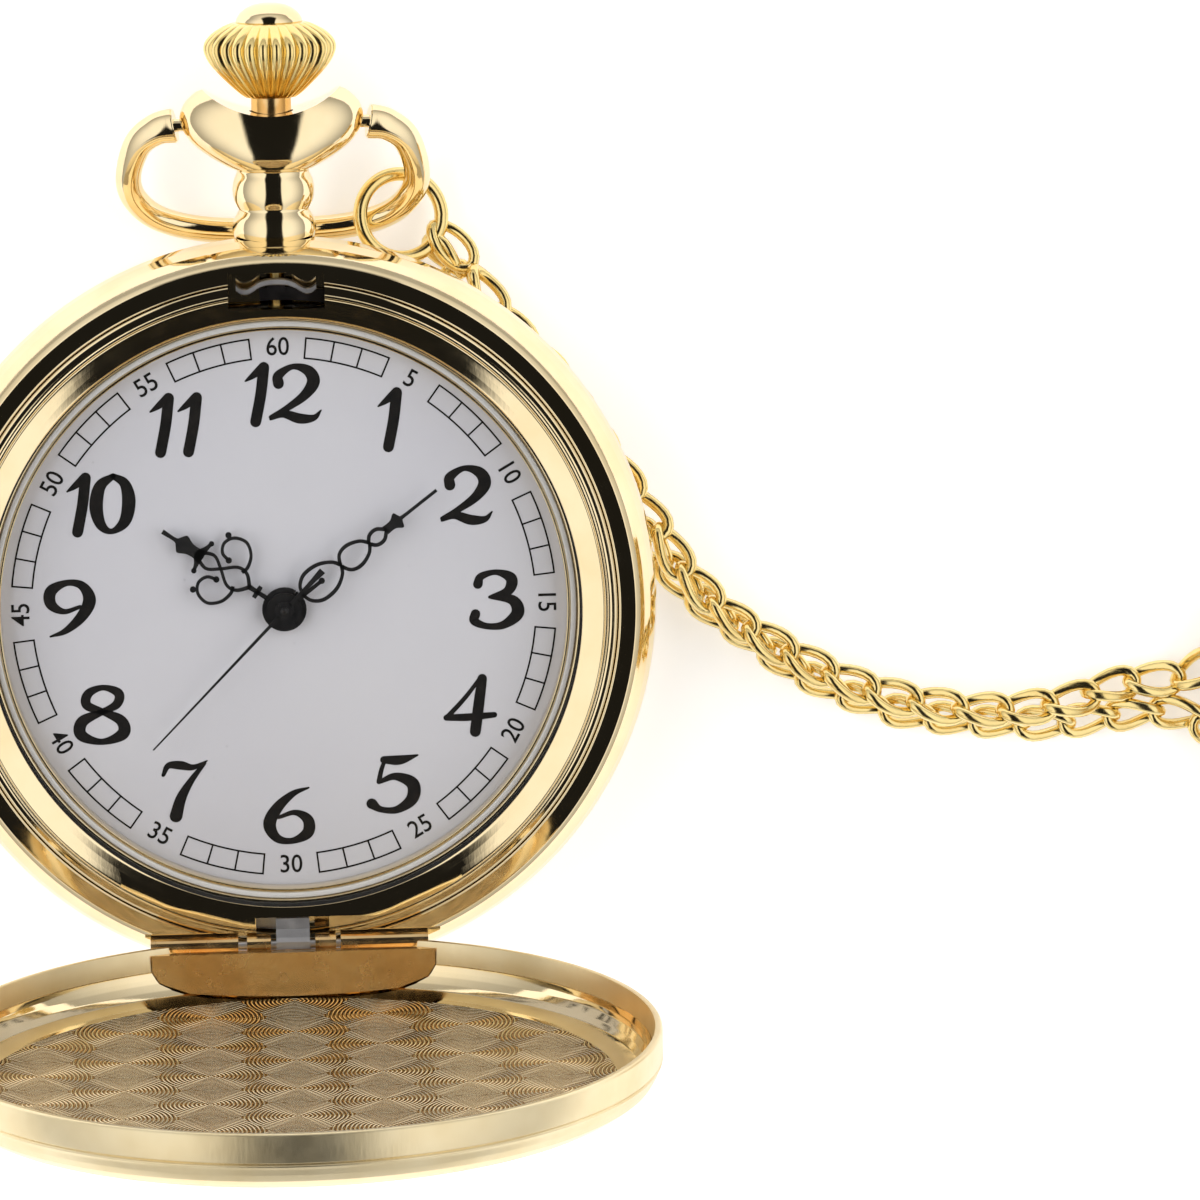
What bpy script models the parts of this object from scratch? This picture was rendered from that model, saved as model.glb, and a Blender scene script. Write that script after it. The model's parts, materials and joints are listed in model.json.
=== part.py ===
"""A hunter-case quartz pocket watch that lies on its back with its front cover raised, and its necklace chain.

+Z is up, out of the dial, and +Y points to 12 o'clock. Numbers are millimetres from the centre of the dial's face
unless a comment says otherwise; the helper functions turn them into metres.
"""

from math import atan2, ceil, cos, degrees, pi, radians, sin, sqrt

import bmesh
import bpy
from mathutils import Euler, Matrix, Vector

MM = 0.001
FULL_TURN = 2 * pi

# Driving dimensions
DIAL_HEIGHT = 7.0  # dial face above the table
DIAL_Y = -5.615  # puts the origin under the middle of the whole object
CASE_RADIUS = 23.5
BEZEL_OPENING = 18.65
DIAL_RADIUS = 18.9
LID_RADIUS = 22.0
LID_OPENING_ANGLE = 92.8
HINGE_REACH = 21.0  # from the dial's centre to the hinge axis
HINGE_HEIGHT = 3.1
PENDANT_Z = -1.2  # height of the stem, crown and bow axis
BOW_PIVOT_Y = 30.45
BOW_LENGTH = 8.72
BOW_WIRE = 0.95
BOW_REST_ANGLE = 33.8
CHAIN_RADIUS = 0.9
TABLE = -DIAL_HEIGHT
HOUR_ANGLE = 304.4  # clockwise from 12 o'clock
MINUTE_ANGLE = 52.8
SECOND_ANGLE = 224.4
RING_STEPS = 48  # flats round every turned part of the case, so that nested rings keep their gaps


# ---------------------------------------------------------------- scene and materials

for old in list(bpy.data.objects):
    bpy.data.objects.remove(old, do_unlink=True)

PARTS = bpy.data.collections.new("pocket_watch")
CUTTERS = bpy.data.collections.new("cutters")
bpy.context.scene.collection.children.link(PARTS)
bpy.context.scene.collection.children.link(CUTTERS)


def make_material(name, color, metallic=0.0, roughness=0.4, transmission=0.0):
    material = bpy.data.materials.new(name)
    material.use_nodes = True
    shader = material.node_tree.nodes["Principled BSDF"]
    shader.inputs["Base Color"].default_value = (*color, 1.0)
    shader.inputs["Metallic"].default_value = metallic
    shader.inputs["Roughness"].default_value = roughness
    shader.inputs["Transmission Weight"].default_value = transmission
    return material


GOLD = make_material("gold_plate", (0.93, 0.74, 0.36), 1.0, 0.14)
STEEL = make_material("steel", (0.62, 0.62, 0.64), 1.0, 0.25)
BRASS = make_material("brass", (0.80, 0.62, 0.28), 1.0, 0.3)
DIAL_PAINT = make_material("dial_paint", (0.66, 0.65, 0.69), 0.0, 0.45)
SPACER_FINISH = make_material("spacer_finish", (0.80, 0.76, 0.72), 0.3, 0.3)
BLACK_PAINT = make_material("black_paint", (0.02, 0.02, 0.02), 0.0, 0.35)
GLASS = make_material("crystal_glass", (1.0, 1.0, 1.0), 0.0, 0.02, 1.0)
RUBBER = make_material("gasket_rubber", (0.05, 0.05, 0.05), 0.0, 0.7)
WHITE_PLASTIC = make_material("white_plastic", (0.85, 0.84, 0.80), 0.0, 0.45)
BLACK_PLASTIC = make_material("black_plastic", (0.04, 0.04, 0.045), 0.0, 0.5)
BOARD_GREEN = make_material("board_green", (0.05, 0.22, 0.10), 0.0, 0.45)
COPPER = make_material("copper_wire", (0.72, 0.33, 0.15), 1.0, 0.35)


# ---------------------------------------------------------------- helpers


def empty(name, place, parent=None):
    """A pivot. Its place is in its parent's frame."""
    pivot = bpy.data.objects.new(name, None)
    pivot.empty_display_size = 2 * MM
    PARTS.objects.link(pivot)
    pivot.parent = parent
    pivot.location = Vector(place) * MM
    return pivot


WATCH = empty("watch", (0, DIAL_Y, DIAL_HEIGHT))


def add_object(name, mesh, material, pivot=WATCH):
    """Puts a mesh modelled in the watch's frame on a pivot, which keeps it in place and carries it."""
    piece = bpy.data.objects.new(name, mesh)
    PARTS.objects.link(piece)
    if material:
        mesh.materials.append(material)
    piece.parent = pivot
    if pivot is not WATCH:
        piece.location = -pivot.location
    return piece


def as_cutter(piece):
    PARTS.objects.unlink(piece)
    CUTTERS.objects.link(piece)
    piece.hide_render = True
    piece.display_type = "WIRE"
    return piece


def boolean(piece, operation, *others):
    for other in others:
        modifier = piece.modifiers.new(operation.lower() + "_" + other.name, "BOOLEAN")
        modifier.operation = operation
        modifier.object = other
    return piece


def cut(piece, *cutters):
    return boolean(piece, "DIFFERENCE", *cutters)


def join(piece, *others):
    return boolean(piece, "UNION", *[as_cutter(other) for other in others])


def smooth(mesh, angle=35):
    mesh.shade_smooth()
    mesh.set_sharp_from_angle(angle=radians(angle))


def mesh_of(name, points, edges=(), faces=()):
    mesh = bpy.data.meshes.new(name)
    mesh.from_pydata([Vector(point) * MM for point in points], edges, faces)
    return mesh


def lathe(name, profile, material, pivot=WATCH, closed=False, steps=RING_STEPS, along_y=False):
    """Turns a profile of (radius, height) points, whose outer side runs down. A closed one makes a ring."""
    points = [(radius, 0, height) for radius, height in profile]
    edges = [(i, i + 1) for i in range(len(points) - 1)]
    if closed:
        edges.append((len(points) - 1, 0))
    piece = add_object(name, mesh_of(name, points, edges), material, pivot)
    screw = piece.modifiers.new("turn", "SCREW")
    screw.steps = steps
    screw.render_steps = steps
    screw.use_merge_vertices = True
    screw.merge_threshold = 0.000001
    screw.use_smooth_shade = True
    if along_y:
        piece.rotation_euler.x = radians(-90)
        piece.location.z += PENDANT_Z * MM
    return piece


def rod(name, radius, start, end, material=None, pivot=WATCH, segments=20):
    """A round bar between two points."""
    start, end = Vector(start), Vector(end)
    build = bmesh.new()
    bmesh.ops.create_cone(
        build,
        cap_ends=True,
        segments=segments,
        radius1=radius * MM,
        radius2=radius * MM,
        depth=(end - start).length * MM,
    )
    turn = (end - start).to_track_quat("Z", "Y").to_matrix().to_4x4()
    build.transform(Matrix.Translation((start + end) * MM / 2) @ turn)
    mesh = bpy.data.meshes.new(name)
    build.to_mesh(mesh)
    build.free()
    smooth(mesh)
    return add_object(name, mesh, material, pivot)


def box(name, low, high, material=None, pivot=WATCH):
    build = bmesh.new()
    bmesh.ops.create_cube(build, size=1.0)
    low, high = Vector(low), Vector(high)
    size = Matrix.Diagonal((*((high - low) * MM), 1.0))
    build.transform(Matrix.Translation((low + high) * MM / 2) @ size)
    mesh = bpy.data.meshes.new(name)
    build.to_mesh(mesh)
    build.free()
    return add_object(name, mesh, material, pivot)


def loft(name, rings, material, pivot=WATCH):
    """A closed skin through rings of equally many points."""
    count = len(rings[0])
    points = [point for ring in rings for point in ring]
    faces = []
    for level in range(len(rings) - 1):
        base = level * count
        for i in range(count):
            following = (i + 1) % count
            faces.append((base + i, base + following, base + count + following, base + count + i))
    faces.append(tuple(range(count)))
    faces.append(tuple(range(len(points) - count, len(points))))
    mesh = mesh_of(name, points, (), faces)
    build = bmesh.new()
    build.from_mesh(mesh)
    bmesh.ops.recalc_face_normals(build, faces=build.faces)
    build.to_mesh(mesh)
    build.free()
    smooth(mesh)
    return add_object(name, mesh, material, pivot)


def curve_to_mesh(curve_object, weld=0.0000005):
    """Replaces a curve by the mesh it makes, with its caps welded on."""
    bpy.context.view_layer.update()
    graph = bpy.context.evaluated_depsgraph_get()
    mesh = bpy.data.meshes.new_from_object(curve_object.evaluated_get(graph))
    build = bmesh.new()
    build.from_mesh(mesh)
    bmesh.ops.remove_doubles(build, verts=build.verts, dist=weld)
    bmesh.ops.recalc_face_normals(build, faces=build.faces)
    build.to_mesh(mesh)
    build.free()
    bpy.data.objects.remove(curve_object, do_unlink=True)
    return mesh


def flat(name, outlines, low, high, material, pivot=WATCH, place=(0, 0)):
    """A flat piece between two heights. The first outline is its edge and the others are holes."""
    curve = bpy.data.curves.new(name, "CURVE")
    curve.dimensions = "2D"
    curve.fill_mode = "BOTH"
    curve.extrude = (high - low) / 2 * MM
    for outline in outlines:
        spline = curve.splines.new("POLY")
        spline.points.add(len(outline) - 1)
        for point, (x, y) in zip(spline.points, outline):
            point.co = (x * MM, y * MM, 0, 1)
        spline.use_cyclic_u = True
    holder = bpy.data.objects.new(name + "_outline", curve)
    PARTS.objects.link(holder)
    mesh = curve_to_mesh(holder)
    mesh.transform(Matrix.Translation(Vector((*place, (low + high) / 2)) * MM))
    smooth(mesh)
    return add_object(name, mesh, material, pivot)


def tube(name, path, radius, material, pivot=WATCH, radii=None, resolution=2):
    """A round wire through a list of points, which stays a curve. Radii scale its thickness along it."""
    curve = bpy.data.curves.new(name, "CURVE")
    curve.dimensions = "3D"
    curve.bevel_depth = radius * MM
    curve.bevel_resolution = resolution
    curve.use_fill_caps = True
    spline = curve.splines.new("POLY")
    spline.points.add(len(path) - 1)
    for i, place in enumerate(path):
        spline.points[i].co = (*(Vector(place) * MM), 1)
        spline.points[i].radius = radii[i] if radii else 1.0
    spline.use_smooth = True
    return add_object(name, curve, material, pivot)


def spline_through(route, count):
    """Evenly numbered points on the Catmull-Rom curve through the route's points."""
    route = [Vector(point) for point in route]
    route = [2 * route[0] - route[1], *route, 2 * route[-1] - route[-2]]
    spans = len(route) - 3
    points = []
    for k in range(count):
        at = spans * k / (count - 1)
        i = min(int(at), spans - 1)
        t = at - i
        a, b, c, d = route[i : i + 4]
        points.append(
            0.5 * ((2 * b) + (c - a) * t + (2 * a - 5 * b + 4 * c - d) * t**2 + (3 * b - a - 3 * c + d) * t**3)
        )
    return points


def arc(radius, start, end, count, center=(0, 0)):
    """Points on an arc, with angles in degrees from +X."""
    angles = [radians(start + (end - start) * i / (count - 1)) for i in range(count)]
    return [(center[0] + radius * cos(a), center[1] + radius * sin(a)) for a in angles]


def circle(radius, count=32, center=(0, 0)):
    return arc(radius, 0, 360 - 360 / count, count, center)


def disc_ring(name, inner, outer, low, high, material, pivot=WATCH, steps=RING_STEPS):
    profile = [(inner, high), (outer, high), (outer, low), (inner, low)]
    return lathe(name, profile, material, pivot, closed=True, steps=steps)


# ---------------------------------------------------------------- gears

TIP = 0.7  # tooth heights above and below the pitch circle, in modules
ROOT = 1.15
FOOT_WIDTH = 0.27  # half width of a tooth at its root, in tooth pitches


def gear_outline(teeth, module, phase):
    """Pointed teeth. One tooth stands at the phase, an angle in radians."""
    pitch_radius = teeth * module / 2
    root = pitch_radius - ROOT * module
    tip = pitch_radius + TIP * module
    pitch = FULL_TURN / teeth
    corners = [(root, -FOOT_WIDTH), (tip, 0), (root, FOOT_WIDTH)]
    points = []
    for k in range(teeth):
        middle = phase + k * pitch
        for radius, share in corners:
            points.append((radius * cos(middle + share * pitch), radius * sin(middle + share * pitch)))
    return points


def meshing_phase(place, teeth, phase, other_place, other_teeth):
    """The phase that puts the other gear's teeth between this one's."""
    toward = atan2(other_place[1] - place[1], other_place[0] - place[0])
    pitch = FULL_TURN / teeth
    share = ((toward - phase) / pitch) % 1.0
    other_pitch = FULL_TURN / other_teeth
    return toward + pi + other_pitch * (0.5 + share)


def polar(distance, angle, center=(0, 0)):
    return (center[0] + distance * cos(radians(angle)), center[1] + distance * sin(radians(angle)))


# ---------------------------------------------------------------- case


def make_band():
    """The middle of the case, with a snap seat behind, a groove for the springs and a flat ledge in front."""
    bore, groove = 19.3, 20.6
    profile = [
        (groove, 1.9),
        (20.95, 1.9),
        (20.95, 2.78),
        (21.17, 2.78),
        (21.22, 2.7),
        (21.85, 2.7),
        (22.25, 2.5),
        (22.75, 1.95),
        (23.45, 0.2),
        (CASE_RADIUS, -0.3),
        (23.25, -1.6),
        (22.2, -3.4),
        (21.2, -4.25),
        (20.7, -4.6),
        (20.05, -4.6),
        (20.05, -4.0),
        (bore, -4.0),
        (bore, 0.4),
        (groove, 0.4),
    ]
    band = lathe("case_band", profile, GOLD, closed=True, steps=RING_STEPS)
    window = as_cutter(box("catch_window_cutter", (-3.0, 19.0, 0.3), (3.0, 21.5, 4.0)))
    stem_slot = as_cutter(box("stem_slot_cutter", (-1.0, 19.0, -2.1), (1.0, 21.2, 1.0)))
    stem_bore = as_cutter(rod("stem_bore_cutter", 0.7, (0, 18, PENDANT_Z), (0, 26, PENDANT_Z)))
    hinge_recess = as_cutter(box("hinge_recess_cutter", (-9.3, -24.5, 2.3), (9.3, -20.2, 4.0)))
    tongue_recess = as_cutter(box("tongue_recess_cutter", (-2.3, -20.4, 0.3), (2.3, -19.0, 4.0)))
    cut(band, window, stem_slot, stem_bore, hinge_recess, tongue_recess)
    return window, hinge_recess, tongue_recess


def make_bezel(window, hinge_recess, tongue_recess):
    profile = [
        (BEZEL_OPENING, 2.9),
        (19.1, 3.0),
        (19.55, 3.13),
        (19.95, 3.3),
        (20.08, 3.2),
        (20.18, 2.94),
        (20.28, 2.94),
        (20.45, 2.84),
        (20.88, 2.7),
        (20.88, 1.95),
        (19.03, 1.95),
        (19.03, 2.8),
        (BEZEL_OPENING, 2.8),
    ]
    bezel = lathe("bezel", profile, GOLD, closed=True, steps=RING_STEPS)
    short_window = as_cutter(box("bezel_window_cutter", (-3.0, 19.25, 1.0), (3.0, 21.5, 4.0)))
    short_recess = as_cutter(box("bezel_tongue_cutter", (-2.3, -21.5, 1.0), (2.3, -19.25, 4.0)))
    plate_relief = as_cutter(box("bezel_relief_cutter", (-10.7, -21.0, 3.08), (10.7, -15.0, 4.0)))
    cut(bezel, short_window, short_recess, plate_relief, hinge_recess)


def make_back():
    """A snap-on back, slightly domed, with a flat middle that the watch rests on."""
    profile = [
        (0, -6.25),
        (14.0, -6.2),
        (17.5, -5.75),
        (19.0, -5.2),
        (19.35, -4.4),
        (19.95, -4.4),
        (19.95, -4.66),
        (20.62, -4.66),
        (20.45, -5.1),
        (19.2, -6.0),
        (16.8, -6.7),
        (14.2, TABLE),
        (0, TABLE),
    ]
    lathe("case_back", profile, GOLD, steps=RING_STEPS)
    disc_ring("back_gasket", 19.4, 19.9, -4.35, -4.05, RUBBER)


def make_glass_and_dial():
    dome = [
        (0, 3.3),
        (8, 3.2),
        (14, 2.98),
        (17.6, 2.78),
        (18.9, 2.72),
        (18.95, 2.66),
        (18.95, 2.12),
        (17.6, 2.2),
        (12, 2.45),
        (6, 2.6),
        (0, 2.65),
    ]
    lathe("crystal", dome, GLASS, steps=RING_STEPS)
    disc_ring("crystal_gasket", 18.6, 18.98, 1.78, 2.06, RUBBER)
    spacer = [
        (17.75, 1.55),
        (17.9, 1.72),
        (18.35, 1.72),
        (18.5, 1.62),
        (18.95, 1.62),
        (18.95, 0.06),
        (17.75, 0.06),
    ]
    lathe("dial_spacer_ring", spacer, SPACER_FINISH, closed=True, steps=RING_STEPS)
    disc_ring("dial", 0.95, DIAL_RADIUS, -0.4, 0.0, DIAL_PAINT)


# ---------------------------------------------------------------- springs in the band

SPRING_INNER, SPRING_OUTER = 19.62, 20.42
SPRING_LOW, SPRING_HIGH = 0.55, 1.2


def spring_arc(name, start, end):
    """A flat arc spring with a round eye for its screw at the end."""
    middle = (SPRING_INNER + SPRING_OUTER) / 2
    outline = arc(SPRING_OUTER, start, end, 14) + arc(SPRING_INNER, end, start, 14)
    spring = flat(name, [outline], SPRING_LOW, SPRING_HIGH, STEEL)
    eye = polar(middle, end)
    hole = rod(name + "_eye_cutter", 0.2, (*eye, 0), (*eye, 2), segments=12)
    cut(spring, as_cutter(hole))
    return spring


def spring_screw(name, angle):
    """A cheese-head screw that clamps a spring's eye to the floor of the groove."""
    at = polar((SPRING_INNER + SPRING_OUTER) / 2, angle)
    screw = rod(name, 0.36, (*at, SPRING_HIGH + 0.04), (*at, SPRING_HIGH + 0.4), STEEL, segments=16)
    shank = rod(name + "_shank", 0.15, (*at, 0.45), (*at, SPRING_HIGH + 0.2), segments=12)
    join(screw, shank)
    slot = box(name + "_slot_cutter", (at[0] - 0.5, at[1] - 0.05, 1.45), (at[0] + 0.5, at[1] + 0.05, 2.0))
    cut(screw, as_cutter(slot))


def make_springs():
    """The lift spring's tongue pushes the lid up. The catch spring's arched nose holds it shut."""
    lift = spring_arc("lift_spring", 273, 212)
    riser = box("lift_riser", (-1.0, -20.1, 0.6), (1.0, -19.65, 2.9))
    side = [(-19.35, 2.9), (-20.0, 3.1), (-20.5, 3.42), (-20.75, 3.6), (-21.2, 3.65)]
    side += [(-21.2, 3.49), (-20.72, 3.44), (-20.42, 3.22), (-20.0, 2.9), (-19.35, 2.68)]
    tongue = loft("lift_tongue", [[(x, y, z) for y, z in side] for x in (-1.05, 1.05)], None)
    join(lift, riser, tongue)
    spring_screw("lift_spring_screw", 212)

    catch_pivot = empty("catch_pivot", (*polar(20.02, 35), SPRING_LOW), WATCH)
    middle = (SPRING_INNER + SPRING_OUTER) / 2
    outline = arc(SPRING_OUTER, 93, 35, 14) + arc(SPRING_INNER, 35, 93, 14)
    catch = flat("lid_catch", [outline], SPRING_LOW, SPRING_HIGH, STEEL, catch_pivot)
    eye = polar(middle, 35)
    hole = rod("lid_catch_eye_cutter", 0.2, (*eye, 0), (*eye, 2), None, catch_pivot, 12)
    nose_half = [(-2.5, 20.72), (-2.2, 20.5), (-1.85, 20.46), (-1.5, 20.6), (-1.1, 20.86), (-0.6, 21.02)]
    nose_points = nose_half + [(0, 21.06)] + [(-x, y) for x, y in reversed(nose_half)]
    nose_outline = nose_points + [(x, y - 0.4) for x, y in reversed(nose_points)]
    nose = flat("catch_nose", [nose_outline], 1.5, 2.15, None, catch_pivot)
    riser = box("catch_riser", (-0.6, 20.1, 0.6), (0.6, 20.75, 1.9), None, catch_pivot)
    join(catch, riser, nose)
    cut(catch, as_cutter(hole))
    spring_screw("catch_spring_screw", 35)


# ---------------------------------------------------------------- lid and hinge

KNUCKLE_RADIUS = 0.62
PIN_RADIUS = 0.3
PIN_HOLE = 0.36


def barrel(name, start_x, end_x, material, pivot=WATCH):
    """A hinge knuckle on the lid's axis."""
    return rod(
        name,
        KNUCKLE_RADIUS,
        (start_x, -HINGE_REACH, HINGE_HEIGHT),
        (end_x, -HINGE_REACH, HINGE_HEIGHT),
        material,
        pivot,
        20,
    )


def pin_hole(name, pivot=WATCH):
    start = (-10, -HINGE_REACH, HINGE_HEIGHT)
    end = (10, -HINGE_REACH, HINGE_HEIGHT)
    return as_cutter(rod(name, PIN_HOLE, start, end, None, pivot, 16))


def make_case_hinge():
    bore = pin_hole("case_pin_hole_cutter")
    for side, start, end in (("left", -8.95, -3.45), ("right", 3.0, 8.5)):
        knuckle = barrel("hinge_barrel_" + side, start, end, GOLD)
        foot = box("hinge_foot_" + side, (start, -21.6, 2.36), (end, -20.45, 2.95))
        join(knuckle, foot)
        cut(knuckle, bore)
    rod(
        "hinge_pin",
        PIN_RADIUS,
        (-8.8, -HINGE_REACH, HINGE_HEIGHT),
        (8.35, -HINGE_REACH, HINGE_HEIGHT),
        STEEL,
    )


LID_SKIN = [(0, 7.45), (9, 7.35), (15, 7.12), (19.0, 6.75), (20.6, 6.4), (21.5, 5.75), (21.9, 4.95)]
LID_INSIDE = [(21.45, 4.3), (21.25, 5.0), (20.6, 5.75), (19.3, 6.15), (15, 6.45), (9, 6.62), (0, 6.7)]


def make_lid():
    """The front cover, modelled shut and turned open about its hinge."""
    pivot = empty("lid_pivot", (0, -HINGE_REACH, HINGE_HEIGHT), WATCH)
    pivot.rotation_euler.x = radians(LID_OPENING_ANGLE)
    rim = [(LID_RADIUS, 4.75), (21.85, 4.65), (LID_RADIUS, 4.55), (LID_RADIUS, 2.95), (21.9, 2.85), (21.5, 2.85)]
    lid = lathe("lid_shell", LID_SKIN + rim + LID_INSIDE, GOLD, pivot, steps=RING_STEPS)
    chord = box("lid_chord_cutter", (-10.6, -24, 1.0), (10.6, -20.08, 5.2), None, pivot)
    cut(lid, as_cutter(chord))

    plate = box("lid_hinge_plate", (-9.25, -20.03, 3.2), (9.25, -19.43, 6.9), GOLD, pivot)
    inside = [(0, 9), (26, 9), (26, 2.0), (21.40, 2.0), *[(r - 0.05, z - 0.06) for r, z in LID_INSIDE]]
    inside_cutter = lathe("lid_inside_cutter", inside, None, pivot, steps=RING_STEPS)
    cut(plate, as_cutter(inside_cutter))
    for index, (start, end) in enumerate(((-2.9, -1.4), (1.4, 2.7))):
        knuckle = barrel(f"lid_knuckle_{index}", start, end, None, pivot)
        web = box(f"lid_web_{index}", (start, -20.9, 3.3), (end, -19.9, 3.7), None, pivot)
        join(plate, knuckle, web)
    cut(plate, pin_hole("lid_pin_hole_cutter", pivot))


# ---------------------------------------------------------------- pendant, bow and ring


def ellipse_ring(y, half_width, half_depth, count=24):
    angles = [FULL_TURN * k / count for k in range(count)]
    return [(half_width * cos(a), y, PENDANT_Z + half_depth * sin(a)) for a in angles]


def make_pendant():
    """Two beads under a boat-shaped cup, bored for the stem and hollowed over the top for the crown."""
    sections = [
        (22.2, 3.0, 2.65),
        (23.15, 2.6, 2.4),
        (23.9, 2.6, 2.4),
        (24.7, 2.5, 2.3),
        (25.1, 2.2, 2.05),
        (26.3, 2.57, 2.38),
        (27.55, 2.45, 2.25),
        (27.7, 2.8, 2.5),
        (28.4, 3.9, 2.85),
        (29.3, 5.05, 3.05),
        (30.2, 5.62, 3.1),
        (31.0, 5.75, 3.0),
        (31.8, 5.45, 2.7),
        (32.4, 4.85, 2.2),
        (32.72, 4.1, 1.5),
    ]
    pendant = loft("pendant", [ellipse_ring(*section) for section in sections], GOLD)
    saddle_radius = 6.6
    saddle_y = 31.1 + saddle_radius
    saddle = as_cutter(rod("saddle_cutter", saddle_radius, (0, saddle_y, -9), (0, saddle_y, 9), segments=64))
    seat = [(0, 3.0), (21.9, 3.0), (22.3, 2.56), (22.82, 2.0), (23.51, 0.22), (23.56, -0.3)]
    seat += [(23.31, -1.63), (22.25, -3.45), (21.25, -4.3), (0, -4.3)]
    seat_cutter = as_cutter(lathe("pendant_seat_cutter", seat, None, steps=RING_STEPS))
    bore = as_cutter(rod("pendant_bore_cutter", 1.38, (0, 28.3, PENDANT_Z), (0, 34, PENDANT_Z), segments=24))
    stem_bore = as_cutter(rod("pendant_stem_cutter", 0.66, (0, 20, PENDANT_Z), (0, 30, PENDANT_Z)))
    pin_bore = as_cutter(
        rod("bow_pin_bore_cutter", 0.46, (-8, BOW_PIVOT_Y, PENDANT_Z), (-4.5, BOW_PIVOT_Y, PENDANT_Z))
    )
    pin_bore_right = as_cutter(
        rod("bow_pin_bore_cutter_right", 0.46, (8, BOW_PIVOT_Y, PENDANT_Z), (4.5, BOW_PIVOT_Y, PENDANT_Z))
    )
    cut(pendant, saddle, seat_cutter, bore, stem_bore, pin_bore, pin_bore_right)
    for side, sign in (("left", -1), ("right", 1)):
        start = (sign * 4.55, BOW_PIVOT_Y, PENDANT_Z)
        end = (sign * 6.65, BOW_PIVOT_Y, PENDANT_Z)
        rod("bow_pin_" + side, 0.4, start, end, GOLD, segments=16)


BOW_END_X = 6.12
BOW_HALF = [(BOW_END_X, 0.0), (7.2, 0.3), (8.4, 1.5), (9.05, 4.0), (8.7, 5.9), (7.2, 7.55), (4.3, 8.5)]


def make_bow():
    """The bow's oval wire, thinner at its ends, laid back on the table."""
    pivot = empty("bow_pivot", (0, BOW_PIVOT_Y, PENDANT_Z), WATCH)
    half = [(x, -reach, 0) for x, reach in BOW_HALF]
    route = half + [(0, -BOW_LENGTH, 0)] + [(-x, y, z) for x, y, z in reversed(half)]
    count = 41
    path = spline_through(route, count)
    radii = [0.86 + 0.14 * min(1.0, 6 * min(i, count - 1 - i) / count) for i in range(count)]
    wire = tube("bow_wire", path, BOW_WIRE, None, pivot, radii)
    wire.location = (0, 0, 0)
    bow = bpy.data.objects.new("bow", curve_to_mesh(wire))
    PARTS.objects.link(bow)
    bow.data.materials.append(GOLD)
    smooth(bow.data, 60)
    bow.parent = pivot
    bow.rotation_euler.x = radians(BOW_REST_ANGLE)
    for side, sign in (("left", -1), ("right", 1)):
        start = (sign * 5.0, BOW_PIVOT_Y, PENDANT_Z)
        end = (sign * 6.85, BOW_PIVOT_Y, PENDANT_Z)
        cut(bow, as_cutter(rod("bow_hole_cutter_" + side, 0.46, start, end, segments=16)))


RING_CENTER = (8.0, 24.05, -4.95)
RING_RADIUS = 2.65
RING_WIRE = 0.45
RING_TILT = 17.0
RING_TILT_TOWARD = 217.4  # the ring is highest on this side
RING_PIVOT = (5.7, 23.5, -5.2)  # where it rides on the bow's wire


def make_jump_ring():
    """A round wire ring through the bow. It passes over the bow on one side and under it on the other."""
    ring_pivot = empty("ring_pivot", RING_PIVOT, WATCH)
    build = bmesh.new()
    circle_points = []
    steps, sides = 28, 8
    for k in range(steps):
        turn = FULL_TURN * k / steps
        across = Vector((cos(turn), sin(turn), 0))
        center = across * RING_RADIUS
        for s in range(sides):
            angle = FULL_TURN * s / sides
            offset = across * cos(angle) + Vector((0, 0, sin(angle)))
            circle_points.append(build.verts.new((center + offset * RING_WIRE) * MM))
    for k in range(steps):
        for s in range(sides):
            a, b = k * sides, ((k + 1) % steps) * sides
            t = (s + 1) % sides
            corners = (a + s, b + s, b + t, a + t)
            build.faces.new([circle_points[i] for i in corners])
    bmesh.ops.recalc_face_normals(build, faces=build.faces)
    toward = radians(RING_TILT_TOWARD)
    tilt_axis = Vector((sin(toward), -cos(toward), 0))
    tilt = Matrix.Rotation(radians(RING_TILT), 4, tilt_axis)
    build.transform(Matrix.Translation(Vector(RING_CENTER) * MM) @ tilt)
    mesh = bpy.data.meshes.new("jump_ring")
    build.to_mesh(mesh)
    build.free()
    smooth(mesh, 60)
    add_object("jump_ring", mesh, GOLD, ring_pivot)


# ---------------------------------------------------------------- crown and stem

FLUTES = 28
FLUTE_DEPTH = 0.07


def fluted_ring(y, radius, depth):
    points = []
    for k in range(2 * FLUTES):
        angle = pi * k / FLUTES
        reach = radius * (1 - depth * (k % 2))
        points.append((reach * cos(angle), y, PENDANT_Z + reach * sin(angle)))
    return points


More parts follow.
